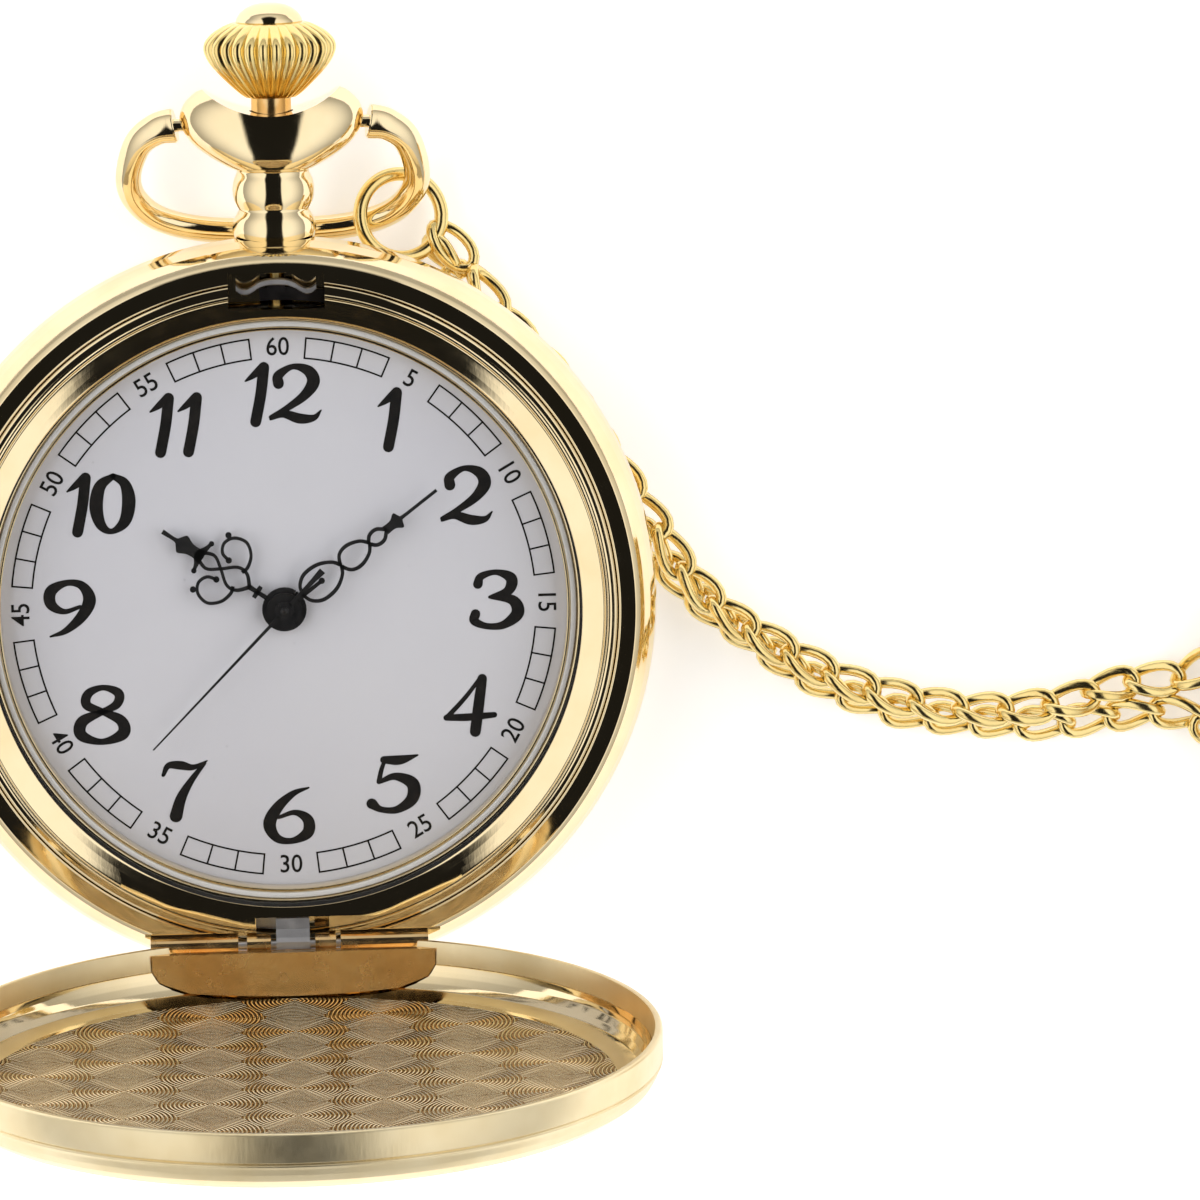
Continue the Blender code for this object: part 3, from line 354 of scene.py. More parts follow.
COPPER = metal("copper_winding", (0.74, 0.34, 0.15), (0.58, 0.24, 0.10), 0.33, 0.2, 0.4, 0.14)


def coated(name, color, shade, roughness, grain, depth, scale=900.0, **sockets):
    """Paint, plastic or rubber with mottled tone and a fine surface grain."""
    material, tree, shader = new_material(name, color, 0.0, roughness, **sockets)
    mottle = ramp(tree, noise(tree, scale * 0.4, 4.0), shade, color, 0.3, 0.7)
    polish = ramp(tree, noise(tree, scale, 4.0), roughness, roughness + 0.12, 0.4, 0.8)
    tree.links.new(mottle, shader.inputs["Base Color"])
    tree.links.new(polish, shader.inputs["Roughness"])
    bump(tree, shader, noise(tree, scale * 4, 4.0), grain, depth)
    return material


def dial_enamel():
    """Pale lilac-grey lacquer with faint dust specks."""
    material, tree, shader = new_material("dial_enamel", (0.68, 0.68, 0.73), 0.0, 0.5)
    specks = noise(tree, 2600.0, 2.0)
    tone = ramp(tree, noise(tree, 60.0, 3.0), (0.66, 0.66, 0.715), (0.695, 0.695, 0.74), 0.3, 0.7)
    mix = tree.nodes.new("ShaderNodeMixRGB")
    mix.blend_type = "MULTIPLY"
    mix.inputs["Fac"].default_value = 1.0
    tree.links.new(tone, mix.inputs["Color1"])
    tree.links.new(ramp(tree, specks, 0.86, 1.0, 0.22, 0.3), mix.inputs["Color2"])
    tree.links.new(mix.outputs["Color"], shader.inputs["Base Color"])
    bump(tree, shader, noise(tree, 3000.0, 3.0), 0.05, 0.00002)
    return material


DIAL = dial_enamel()
INK = coated("black_ink", (0.006, 0.006, 0.006), (0.014, 0.012, 0.011), 0.5, 0.25, 0.00002, 2600.0)
INK.node_tree.nodes["Principled BSDF"].inputs["Specular IOR Level"].default_value = 0.12
HAND_BLACK = coated("hand_black", (0.008, 0.008, 0.009), (0.020, 0.019, 0.019), 0.3, 0.15, 0.00002, 1600.0)
HAND_BLACK.node_tree.nodes["Principled BSDF"].inputs["Specular IOR Level"].default_value = 0.3
RUBBER = coated("gasket_rubber_look", (0.035, 0.035, 0.035), (0.02, 0.02, 0.02), 0.6, 0.4, 0.00005)
SPACER = coated("spacer_satin", (0.86, 0.85, 0.83), (0.80, 0.78, 0.75), 0.25, 0.08, 0.00003, 700.0)
WHITE_PLASTIC = coated("white_moulding", (0.80, 0.79, 0.75), (0.72, 0.70, 0.66), 0.42, 0.3, 0.00005)
BLACK_PLASTIC = coated("black_epoxy", (0.03, 0.03, 0.034), (0.05, 0.05, 0.05), 0.4, 0.4, 0.00005)
BOARD = coated("green_board", (0.04, 0.20, 0.09), (0.02, 0.12, 0.05), 0.35, 0.3, 0.00005, 500.0)


def crystal():
    """Clear mineral glass: faint, with polish marks that only just show."""
    clear = {"Alpha": 0.045, "IOR": 1.5}
    material, tree, shader = new_material("clear_crystal", (0.05, 0.05, 0.05), 0.0, 0.04, **clear)
    tone = ramp(tree, noise(tree, 90.0, 3.0), (0.03, 0.03, 0.03), (0.06, 0.06, 0.06), 0.3, 0.7)
    tree.links.new(tone, shader.inputs["Base Color"])
    tree.links.new(ramp(tree, noise(tree, 700.0, 4.0), 0.03, 0.09, 0.5, 0.9), shader.inputs["Roughness"])
    return material


GLASS = crystal()


def guilloche():
    """Engine-turned gold: staggered rosettes of fine concentric grooves, in the lid's plane. The groove
    hollows are painted orange-brown as painted shade and the crests pale cream as painted highlight, and the
    colour is darker where the rosettes meet.
    """
    material, tree, shader = new_material("engine_turned_gold_painted_shade", (0.92, 0.70, 0.42), 1.0, 0.2)
    place = tree.nodes.new("ShaderNodeTexCoord")
    split = tree.nodes.new("ShaderNodeSeparateXYZ")
    tree.links.new(place.outputs["Object"], split.inputs[0])
    across, up = split.outputs["X"], split.outputs["Z"]
    columns, rows, groove = 0.0104, 0.0060, 0.00026

    def distance(shift_x, shift_z):
        u = math_node(tree, "ADD", across, shift_x + 10 * columns)
        v = math_node(tree, "ADD", up, shift_z + 10 * rows)
        u = math_node(tree, "SUBTRACT", math_node(tree, "MODULO", u, columns), columns / 2)
        v = math_node(tree, "SUBTRACT", math_node(tree, "MODULO", v, rows), rows / 2)
        u, v = (math_node(tree, "MULTIPLY", offset, offset) for offset in (u, v))
        return math_node(tree, "SQRT", math_node(tree, "ADD", u, v))

    nearest = math_node(tree, "MINIMUM", distance(0, 0), distance(columns / 2, rows / 2))
    rings = math_node(tree, "SINE", math_node(tree, "MULTIPLY", nearest, TURN / groove))
    waves = math_node(tree, "MULTIPLY", math_node(tree, "ADD", rings, 1.0), 0.5)
    # Painted shade and painted highlight: each groove goes from orange-brown in its hollow to pale cream on
    # its crest.
    tone = ramp(tree, waves, (0.60, 0.34, 0.13), (1.0, 0.88, 0.60), 0.2, 0.62)
    # Darker where the rosettes meet.
    mix = tree.nodes.new("ShaderNodeMixRGB")
    mix.blend_type = "MULTIPLY"
    mix.inputs["Fac"].default_value = 1.0
    tree.links.new(tone, mix.inputs["Color1"])
    tree.links.new(ramp(tree, nearest, 1.0, 0.66, 0.0026, 0.0034), mix.inputs["Color2"])
    tree.links.new(mix.outputs["Color"], shader.inputs["Base Color"])
    tree.links.new(ramp(tree, noise(tree, 900.0, 4.0), 0.13, 0.24, 0.4, 0.8), shader.inputs["Roughness"])
    bump(tree, shader, waves, 0.9, 0.0001)
    return material


GUILLOCHE_PAINTED_SHADE = guilloche()

SLOT_LOOKS = {
    "gold_plate": GOLD,
    "steel": STEEL,
    "brass": BRASS,
    "dial_paint": DIAL,
    "spacer_finish": SPACER,
    "black_paint": HAND_BLACK,
    "crystal_glass": GLASS,
    "gasket_rubber": RUBBER,
    "white_plastic": WHITE_PLASTIC,
    "black_plastic": BLACK_PLASTIC,
    "board_green": BOARD,
    "copper_wire": COPPER,
}
for entry in frame["record"]["subparts"]:
    node = NODES[entry["node"]]
    node.data.materials.clear()
    node.data.materials.append(SLOT_LOOKS[entry["material_slot"]])
for name in ("hinge_barrel_left", "hinge_barrel_right", "lid_hinge_plate"):
    NODES[name].data.materials[0] = GOLD_CAST
NODES["stem"].data.materials[0] = GOLD_CHAIN


# ------------------------------------------------------------------ chain

FLOOR_Z = TABLE + 1.14
OVER_Z = FLOOR_Z + 1.55
LOWER_ROUTE = [
    (11.3, 20.5, FLOOR_Z),
    (12.55, 17.8, FLOOR_Z),
    (14.4, 15.3, FLOOR_Z),
    (16.9, 12.3, FLOOR_Z),
    (18.9, 9.0, FLOOR_Z),
    (20.7, 6.2, FLOOR_Z),
    (22.6, 3.7, FLOOR_Z),
    (24.6, 1.1, FLOOR_Z),
    (27.0, -1.5, FLOOR_Z),
    (30.1, -3.9, FLOOR_Z),
    (34.0, -6.6, FLOOR_Z),
    (38.5, -8.5, FLOOR_Z),
    (43.0, -9.4, FLOOR_Z),
    (48.9, -9.8, FLOOR_Z),
    (53.5, -9.4, FLOOR_Z),
    (57.4, -9.4, FLOOR_Z),
    (59.9, -11.0, FLOOR_Z),
]
UPPER_ROUTE = [
    (12.6, 20.4, FLOOR_Z + 1.65),
    (13.95, 18.0, FLOOR_Z + 1.58),
    (15.65, 15.8, FLOOR_Z + 1.4),
    (18.1, 12.9, FLOOR_Z + 1.38),
    (20.15, 9.5, FLOOR_Z + 1.38),
    (21.95, 6.8, FLOOR_Z + 1.5),
    (23.6, 4.3, OVER_Z + 0.2),
    (25.5, 1.1, OVER_Z + 0.3),
    (28.0, -1.6, OVER_Z + 0.3),
    (31.2, -3.9, OVER_Z + 0.3),
    (35.4, -6.2, OVER_Z + 0.3),
    (40.0, -7.8, OVER_Z + 0.3),
    (45.0, -8.5, OVER_Z + 0.3),
    (49.6, -8.2, OVER_Z),
    (53.5, -7.3, FLOOR_Z + 0.3),
    (57.4, -6.9, FLOOR_Z + 0.3),
    (59.9, -5.4, FLOOR_Z + 1.6),
]
RING_CENTER = Vector((8.0, 24.05, -4.95))
RING_R, RING_WIRE, RING_TILT, RING_TILT_TOWARD = 2.65, 0.45, 17.0, 217.4
PITCH = 2.9
LINK_HALF_LENGTH, LINK_HALF_WIDTH, LINK_WIRE, LINK_TWIST = 1.76, 0.90, 0.37, 0.36
COIL_IN, COIL_OUT, COIL_ROW = 10.9, 13.2, 2.05
COIL_TURNS, COIL_START = 7.7456, radians(225.8)


def coil_point(turns):
    """The coil's centreline: four rows of two turns, with a step over just before each turn ends."""
    cells = []
    for row in range(4):
        pair = (COIL_IN, COIL_OUT) if row % 2 else (COIL_OUT, COIL_IN)
        cells += [(radius, row) for radius in pair]
    cell = min(int(turns), 7)
    share = min(max((turns - cell - 0.85) / 0.15, 0.0), 1.0)
    share = share * share * (3 - 2 * share)
    here, following = Vector(cells[cell]), Vector(cells[min(cell + 1, 7)])
    radius, row = here.lerp(following, share)
    angle = COIL_START + TURN * turns
    low, high = (Vector(c) * 1000 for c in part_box("chain_coil"))
    middle = (low + high) / 2 - ORIGIN * 1000
    height = TABLE + 1.15 + COIL_ROW * row
    return Vector((middle.x + radius * cos(angle), middle.y + radius * sin(angle), height))


def chain_path():
    """The chain's centreline: out along the lower strand, round the coil, back along the upper one."""
    coil = [coil_point(COIL_TURNS * k / 150) for k in range(151)]
    lower_end = [(62.0, -13.2, FLOOR_Z), (64.2, -15.5, FLOOR_Z + 0.1), coil[0]]
    upper_start = [coil[-1], (64.2, -1.1, TABLE + 6.4), (62.0, -3.4, TABLE + 4.4)]
    lower = curve_points(LOWER_ROUTE + lower_end, 6)[:-1]
    upper = curve_points(upper_start + UPPER_ROUTE[::-1], 6)[1:]
    return lower + coil + upper


def length_of(path):
    return sum((b - a).length for a, b in zip(path, path[1:]))


def evenly(path, step):
    """Points at even steps along the path, from half a step in, with the direction there."""
    result, carried = [], step / 2
    for a, b in zip(path, path[1:]):
        span = (b - a).length
        while carried <= span:
            result.append((a.lerp(b, carried / span), (b - a).normalized()))
            carried += step
        carried -= span
    return result


def link(build, center, forward, side, over, half_length, half_width, wire, twist, sides=8, steps=22):
    """Adds an oval link, with its two halves bent out of plane as in a curb chain."""
    points = []
    for k in range(steps):
        phi = TURN * k / steps
        along = half_length * cos(phi)
        across = half_width * sin(phi)
        points.append(center + forward * along + side * across + over * (twist * sin(2 * phi)))
    swept(build, points, wire, sides, closed=True)


def make_joining_links():
    """Two links join the strands' ends to the jump ring, one on edge and one nearly flat."""
    on_edge = (Vector((9.75, 22.5, -5.6)), Vector((11.75, 20.2, -5.5)), 62)
    flat = (Vector((10.05, 23.35, -5.35)), Vector((12.35, 20.8, -4.75)), -24)
    build = bmesh.new()
    for start, end, lean in (on_edge, flat):
        forward = (end - start).normalized()
        side = Vector((0, 0, 1)).cross(forward).normalized()
        over = forward.cross(side)
        across = side * cos(radians(lean)) + over * sin(radians(lean))
        middle, half_length = (start + end) / 2, (end - start).length / 2
        link(build, middle, forward, across, forward.cross(across), half_length, 0.95, 0.36, 0.2)
    finish_piece("joining_links", mesh_from("joining_links", build, 70), "case", GOLD_CHAIN)


def make_chain():
    path = chain_path()
    length = length_of(path)
    build = bmesh.new()
    count = int(length / PITCH)
    sizes = (LINK_HALF_LENGTH, LINK_HALF_WIDTH, LINK_WIRE, LINK_TWIST)
    for number, (center, forward) in enumerate(evenly(path, length / count)):
        side = Vector((0, 0, 1)).cross(forward).normalized()
        over = forward.cross(side)
        roll = radians(34 + 7 * sin(number * 2.1) + 5 * sin(number * 0.63))
        turned_side = side * cos(roll) + over * sin(roll)
        turned_over = over * cos(roll) - side * sin(roll)
        link(build, center, forward, turned_side, turned_over, *sizes)
    mesh = mesh_from("necklace_chain", build, 70)
    nodes = ("chain_strand_lower", "chain_strand_upper", "chain_coil")
    chain = finish_piece("necklace_chain", mesh, "case", GOLD_CHAIN, nodes)
    tuple(at(path[0]))
    [tuple(at(p)) for p in path]
    print("chain length", round(length, 1), "links", count)


make_chain()
make_joining_links()


# ------------------------------------------------------------------ case

RECESS_LOW, RECESS_HIGH = (-9.3, -24.5, 2.3), (9.3, -20.2, 4.0)


def make_case():
    band = [
        (20.6, 1.9),
        (20.95, 1.9),
        (20.95, 2.72),
        (21.0, 2.76),
        (21.06, 2.7),
        (21.96, 2.7),
        (22.04, 2.69),
        (22.3, 2.5),
        (22.6, 2.18),
        (23.0, 1.55),
        (23.35, 0.6),
        (23.5, -0.3),
        (23.38, -1.2),
        (22.95, -2.3),
        (22.2, -3.4),
        (21.2, -4.25),
        (20.7, -4.6),
        (20.05, -4.6),
        (20.05, -4.0),
        (19.3, -4.0),
        (19.3, 0.4),
        (20.6, 0.4),
    ]
    mesh = mesh_from("case_band_look", turned(rounded(band, 0.05, closed=True), 200, closed=True))
    mesh = carved(
        mesh,
        box_build((-3.0, 19.0, 0.3), (3.0, 21.5, 4.0)),
        box_build((-1.0, 19.0, -2.1), (1.0, 21.2, 1.0)),
        rod_build(0.7, (0, 18, -1.2), (0, 26, -1.2), 32),
        box_build(RECESS_LOW, RECESS_HIGH),
        box_build((-2.3, -20.4, 0.3), (2.3, -19.0, 4.0)),
    )
    finish_piece("case_band_look", mesh, "case", GOLD, ["case_band"])

    bezel = [
        (18.65, 2.87),
        (18.8, 2.92),
        (19.2, 3.04),
        (19.6, 3.17),
        (19.9, 3.27),
        (20.0, 3.3),
        (20.06, 3.22),
        (20.1, 2.95),
        (20.16, 2.93),
        (20.24, 2.97),
        (20.3, 2.88),
        (20.38, 2.89),
        (20.5, 2.86),
        (20.72, 2.84),
        (20.84, 2.76),
        (20.88, 2.7),
        (20.88, 1.95),
        (19.03, 1.95),
        (19.03, 2.8),
        (18.65, 2.8),
    ]
    mesh = mesh_from("bezel_look", turned(rounded(bezel, 0.03, closed=True), 200, closed=True), 50)
    mesh = carved(
        mesh,
        box_build((-3.0, 19.25, 1.0), (3.0, 21.5, 4.0)),
        box_build((-2.3, -21.5, 1.0), (2.3, -19.25, 4.0)),
        box_build((-10.7, -21.0, 3.1), (10.7, -15.0, 4.0)),
        box_build(RECESS_LOW, RECESS_HIGH),
        angle=50,
    )
    finish_piece("bezel_look", mesh, "case", GOLD, ["bezel"])

    back = [
        (0, -6.25),
        (14.0, -6.2),
        (17.5, -5.75),
        (19.0, -5.2),
        (19.35, -4.4),
        (19.95, -4.4),
        (19.95, -4.66),
        (20.62, -4.66),
        (20.45, -5.1),
        (19.9, -5.6),
        (19.2, -6.0),
        (18.0, -6.4),
        (16.8, -6.7),
        (15.6, -6.92),
        (14.2, TABLE),
        (0, TABLE),
    ]
    mesh = mesh_from("case_back_look", turned(rounded(back, 0.05), 200))
    finish_piece("case_back_look", mesh, "case", GOLD, ["case_back"])

    dome = [(0, 3.3), (4, 3.28), (8, 3.2), (11, 3.1), (14, 2.98), (17.6, 2.78), (18.9, 2.72), (18.95, 2.66)]
    under = [(18.95, 2.12), (17.6, 2.2), (12, 2.45), (6, 2.6), (0, 2.65)]
    mesh = mesh_from("crystal_look", turned(rounded(dome + under, 0.04), 160))
    finish_piece("crystal_look", mesh, "case", GLASS, ["crystal"])

    # The dial's surround: a thin gold line, a pale ring and an outer gold ring
    inner = [(17.75, 0.06), (17.75, 1.5), (17.8, 1.56), (17.92, 1.56), (17.98, 1.5), (17.98, 0.06)]
    middle = [(17.99, 0.06), (17.99, 1.48), (18.04, 1.6), (18.3, 1.6), (18.36, 1.5), (18.36, 0.06)]
    outer = [(18.38, 0.06), (18.38, 1.56), (18.46, 1.7), (18.6, 1.72), (18.94, 1.7), (18.94, 0.06)]
    for name, profile, look, replaced in (
        ("surround_inner", inner, GOLD, []),
        ("surround_pale", middle, SPACER, ["dial_spacer_ring"]),
        ("surround_outer", outer, GOLD, []),
    ):
        mesh = mesh_from(name, turned(rounded(profile[::-1], 0.03, closed=True), 180, closed=True))
        finish_piece(name, mesh, "case", look, replaced)


make_case()


# ------------------------------------------------------------------ pendant, crown, bow and ring

STEM_Z = -1.2
BOW_PIN_Y = 30.45


def make_pendant():
    sections = [
        (22.2, 3.05, 2.7),
        (22.85, 2.75, 2.45),
        (23.1, 2.42, 2.2),
        (23.5, 2.56, 2.36),
        (23.95, 2.61, 2.42),
        (24.5, 2.52, 2.33),
        (24.9, 2.3, 2.14),
        (25.1, 2.2, 2.05),
        (25.3, 2.3, 2.12),
        (25.75, 2.5, 2.3),
        (26.3, 2.57, 2.38),
        (26.9, 2.49, 2.3),
        (27.3, 2.32, 2.15),
        (27.55, 2.3, 2.15),
        (27.72, 2.72, 2.42),
        (28.4, 3.88, 2.84),
        (29.3, 5.02, 3.04),
        (30.2, 5.6, 3.1),
        (31.0, 5.74, 3.0),
        (31.8, 5.45, 2.7),
        (32.4, 4.85, 2.2),
        (32.6, 4.5, 1.9),
        (32.72, 4.1, 1.5),
    ]
    build = bmesh.new()
    sides = 72
    rings = []
    for y, wide, deep in curve_points(sections, 3):
        angles = [TURN * k / sides for k in range(sides)]
        rings.append([build.verts.new((wide * cos(a), y, STEM_Z + deep * sin(a))) for a in angles])
    skin_rings(build, rings)
    seat = [(0, 3.0), (21.9, 3.0), (22.3, 2.56), (22.82, 2.0), (23.51, 0.22), (23.56, -0.3)]
    seat += [(23.31, -1.63), (22.25, -3.45), (21.25, -4.3), (0, -4.3)]
    mesh = carved(
        mesh_from("pendant_look", build),
        rod_build(6.6, (0, 37.7, -9), (0, 37.7, 9), 160),
        turned(seat, 120),
        rod_build(1.38, (0, 28.3, STEM_Z), (0, 34, STEM_Z), 40),
        rod_build(0.66, (0, 20, STEM_Z), (0, 30, STEM_Z), 32),
        rod_build(0.46, (-8, BOW_PIN_Y, STEM_Z), (-4.5, BOW_PIN_Y, STEM_Z), 24),
        rod_build(0.46, (8, BOW_PIN_Y, STEM_Z), (4.5, BOW_PIN_Y, STEM_Z), 24),
        angle=48,
    )
    bevel_edges(mesh, 0.00007)
    finish_piece("pendant_look", mesh, "case", GOLD, ["pendant"])


def bevel_edges(mesh, width):
    """Softens the carved edges with a narrow bevel."""
    build = bmesh.new()
    build.from_mesh(mesh)
    sharp = [e for e in build.edges if e.is_manifold and e.calc_face_angle(0) > radians(50)]
    bmesh.ops.bevel(build, geom=sharp, offset=width, segments=2, affect="EDGES", clamp_overlap=True)
    build.to_mesh(mesh)
    build.free()
    mesh.shade_smooth()
    mesh.set_sharp_from_angle(angle=radians(48))


def along_stem(y):
    """Stands a turned shape's axis along the stem, with its zero at y."""
    return PLACE @ Matrix.Translation((0, y, STEM_Z)) @ Matrix.Rotation(-pi / 2, 4, "X")


def make_crown():
    flutes, sides = 28, 28 * 8
    outline = [
        (32.1, 1.6, 0.02),
        (32.35, 1.95, 0.05),
        (32.8, 2.45, 0.09),
        (33.5, 3.15, 0.1),
        (34.2, 3.75, 0.1),
        (34.8, 4.07, 0.1),
        (35.2, 4.15, 0.1),
        (35.6, 4.05, 0.1),
        (36.1, 3.6, 0.1),
        (36.5, 2.95, 0.09),
        (36.7, 2.5, 0.05),
        (36.76, 2.3, 0.02),
    ]
    build = bmesh.new()
    rings = []
    for y, radius, depth in curve_points(outline, 3):
        ring = []
        for k in range(sides):
            angle = TURN * k / sides
            groove = 1 - abs(sin(angle * flutes / 2)) ** 0.62
            reach = radius * (1 - depth * groove)
            ring.append(build.verts.new((reach * cos(angle), y, STEM_Z + reach * sin(angle))))
        rings.append(ring)
    skin_rings(build, rings)
    finish_piece("crown_look", mesh_from("crown_look", build, 60), "crown", GOLD_CHAIN, ["crown"])

    neck = [(0, 2.3), (1.27, 2.3), (1.25, 2.2), (1.25, 0.9), (1.19, 0.84), (1.25, 0.78)]
    neck += [(1.25, -0.45), (0, -0.5)]
    mesh = mesh_from("crown_neck_look", turned(neck, 64), 40, along_stem(30.0))
    finish_piece("crown_neck_look", mesh, "crown", GOLD_CAST)

    dome = [(0, 1.2), (0.5, 1.18), (1.0, 1.08), (1.45, 0.88), (1.85, 0.55), (2.06, 0.2), (2.1, 0.0)]
    dome += [(2.02, -0.08), (0, -0.1)]
    mesh = mesh_from("crown_cap_look", turned(rounded(dome, 0.12), 80), 50, along_stem(36.8))
    finish_piece("crown_cap_look", mesh, "crown", GOLD, ["crown_cap"])


def make_bow():
    half = [(6.0, 0.0), (7.2, 0.3), (8.4, 1.5), (9.05, 4.0), (8.7, 5.9), (7.2, 7.55), (4.3, 8.5)]
    drop = radians(33.8)
    route = half + [(0, 8.72)] + [(-x, reach) for x, reach in reversed(half)]
    path = []
    for x, reach in curve_points(route, 10):
        path.append(Vector((x, BOW_PIN_Y - reach * cos(drop), STEM_Z - reach * sin(drop))))
    count = len(path)
    radii = [1.12 - 0.3 * min(1.0, 5 * min(i, count - 1 - i) / count) for i in range(count)]
    build = bmesh.new()
    swept(build, path, radii, 24)
    mesh = mesh_from("bow_look", build, 50)
    bevel_edges(mesh, 0.00012)
    finish_piece("bow_look", mesh, "bow", GOLD, ["bow"])


def make_jump_ring():
    toward = radians(RING_TILT_TOWARD)
    tilt = Matrix.Rotation(radians(RING_TILT), 3, Vector((sin(toward), -cos(toward), 0)))
    steps = 72
    angles = [TURN * k / steps for k in range(steps)]
    path = [RING_CENTER + tilt @ Vector((RING_R * cos(a), RING_R * sin(a), 0)) for a in angles]
    build = bmesh.new()
    swept(build, path, RING_WIRE, 16, closed=True)
    mesh = mesh_from("jump_ring_look", build, 60)
    finish_piece("jump_ring_look", mesh, "ring", GOLD_CHAIN, ["jump_ring"])


def make_catch():
    """The catch spring's bright arched nose on its dark arc, in the window. The arc and its block are
    coloured near-black as painted shade for the shadow inside the window.
    """
    # The arc and the block below take the near-black painted-shade steel.
    dark = bmesh.new()
    low, high, inner, outer = 0.55, 1.2, 19.62, 20.42
    spans = 28
    angles = [radians(93 - 58 * k / spans) for k in range(spans + 1)]
    walls = []
    for r, z in ((inner, low), (outer, low), (outer, high), (inner, high)):
        walls.append([dark.verts.new((r * cos(a), r * sin(a), z)) for a in angles])
    for first, second in zip(walls, walls[1:] + walls[:1]):
        for k in range(spans):
            dark.faces.new((first[k], first[k + 1], second[k + 1], second[k]))
    for k in (0, -1):
        dark.faces.new([wall[k] for wall in walls])
    box_mesh(dark, (-0.55, 20.12, 0.6), (0.55, 20.7, 1.5))
    mesh = mesh_from("catch_arc_look", dark)
    finish_piece("catch_arc_look", mesh, "catch", SPRING_PAINTED_SHADE, ["lid_catch"])

    half = [(-2.5, 20.72), (-2.2, 20.5), (-1.85, 20.46), (-1.5, 20.6), (-1.1, 20.86), (-0.6, 21.02)]
    outline = curve_points(half + [(0, 21.06)] + [(-x, y) for x, y in reversed(half)], 4)
    section = [(-0.06, 1.5), (0, 1.56), (0, 2.08), (-0.06, 2.15), (-0.34, 2.15), (-0.4, 2.08), (-0.4, 1.56)]
    nose = bmesh.new()
    rings = []
    for x, y in outline:
        rings.append([nose.verts.new((x, y + out, z)) for out, z in section])
    skin_rings(nose, rings)
    finish_piece("catch_nose_look", mesh_from("catch_nose_look", nose), "catch", STEEL)


make_catch()
make_pendant()
make_crown()
make_bow()
make_jump_ring()


# ------------------------------------------------------------------ lid

LID_OPEN = radians(92.8)
HINGE = Vector((0, -21.0, 3.1))
SWUNG = Matrix.Translation(HINGE) @ Matrix.Rotation(LID_OPEN, 4, "X") @ Matrix.Translation(-HINGE)
OPENED = PLACE @ SWUNG
FLOOR_R = 19.3


def make_lid():
    """The lid, turned as it sits when shut and then swung open. Its floor is engine-turned."""
    skin = [(0, 7.45), (5, 7.43), (9, 7.35), (12.5, 7.25), (15, 7.12), (17.4, 6.93), (19.0, 6.75)]
    skin += [(20.0, 6.56), (20.6, 6.4), (21.1, 6.14), (21.5, 5.78), (21.75, 5.35), (21.9, 4.95)]
    rim = [(22.0, 4.8), (22.0, 4.74), (21.88, 4.65), (22.0, 4.56), (22.0, 2.98), (21.9, 2.85), (21.55, 2.85)]
    inside = [(21.45, 4.3), (21.37, 4.7), (21.25, 5.0), (20.95, 5.42), (20.6, 5.75), (20.0, 6.0)]
    floor = [(FLOOR_R, 6.15), (17.4, 6.3), (15, 6.45), (12.5, 6.54), (9, 6.62), (5, 6.68), (0, 6.7)]
    outline = rounded(skin + rim + inside, 0.05) + floor
    mesh = mesh_from("lid_look", turned(outline, 200), 50, OPENED)
    chord = box_build((-10.6, -24, 1.0), (10.6, -20.08, 5.2))
    mesh = carved(mesh, chord, transform=OPENED, angle=50)
    finish_piece("lid_look", mesh, "lid", [GOLD_SATIN, GUILLOCHE_PAINTED_SHADE, GOLD], ["lid_shell"])
    closed_again = OPENED.inverted()
    for face in mesh.polygons:
        center = closed_again @ face.center
        out = (center.x**2 + center.y**2) / FLOOR_R**2
        if out < 1.03 and center.z < 6.72 - 0.3 * out:
            face.material_index = 1
        elif out < 1.24 and 3.2 < center.z < 6.2:
            face.material_index = 2


make_lid()


# ------------------------------------------------------------------ dial printing

PRINT_Z = 0.012


def ribbon(build, path, widths, z):
    """A flat stroke along a path of 2-D points, with half-widths, that turns with the path."""
    left, right = [], []
    for i, point in enumerate(path):
        ahead, behind = path[min(i + 1, len(path) - 1)], path[max(i - 1, 0)]
        direction = (ahead - behind).normalized()
        side = Vector((-direction.y, direction.x)) * widths[i]
        left.append(build.verts.new((*(point + side), z)))
        right.append(build.verts.new((*(point - side), z)))
    for i in range(len(path) - 1):
        build.faces.new((left[i], left[i + 1], right[i + 1], right[i]))


def pen_stroke(build, stroke, z, move, per_span=7):
    """A stroke of (x, y, half-width) points, smoothed and moved by the given function."""
    points = curve_points(stroke, per_span)
    path = [move(Vector((p[0], p[1]))) for p in points]
    scale = (move(Vector((0, 1))) - move(Vector((0, 0)))).length
    widths = [max(p[2] * 1.16, 0.012) * scale for p in points]
    ribbon(build, path, widths, z)
    round_end(build, path[0], widths[0], z + 0.002)
    round_end(build, path[-1], widths[-1], z + 0.002)


def round_end(build, center, radius, z, sides=12):
    angles = [TURN * k / sides for k in range(sides)]
    ring = [(center.x + radius * cos(a), center.y + radius * sin(a), z) for a in angles]
    build.faces.new([build.verts.new(corner) for corner in ring])


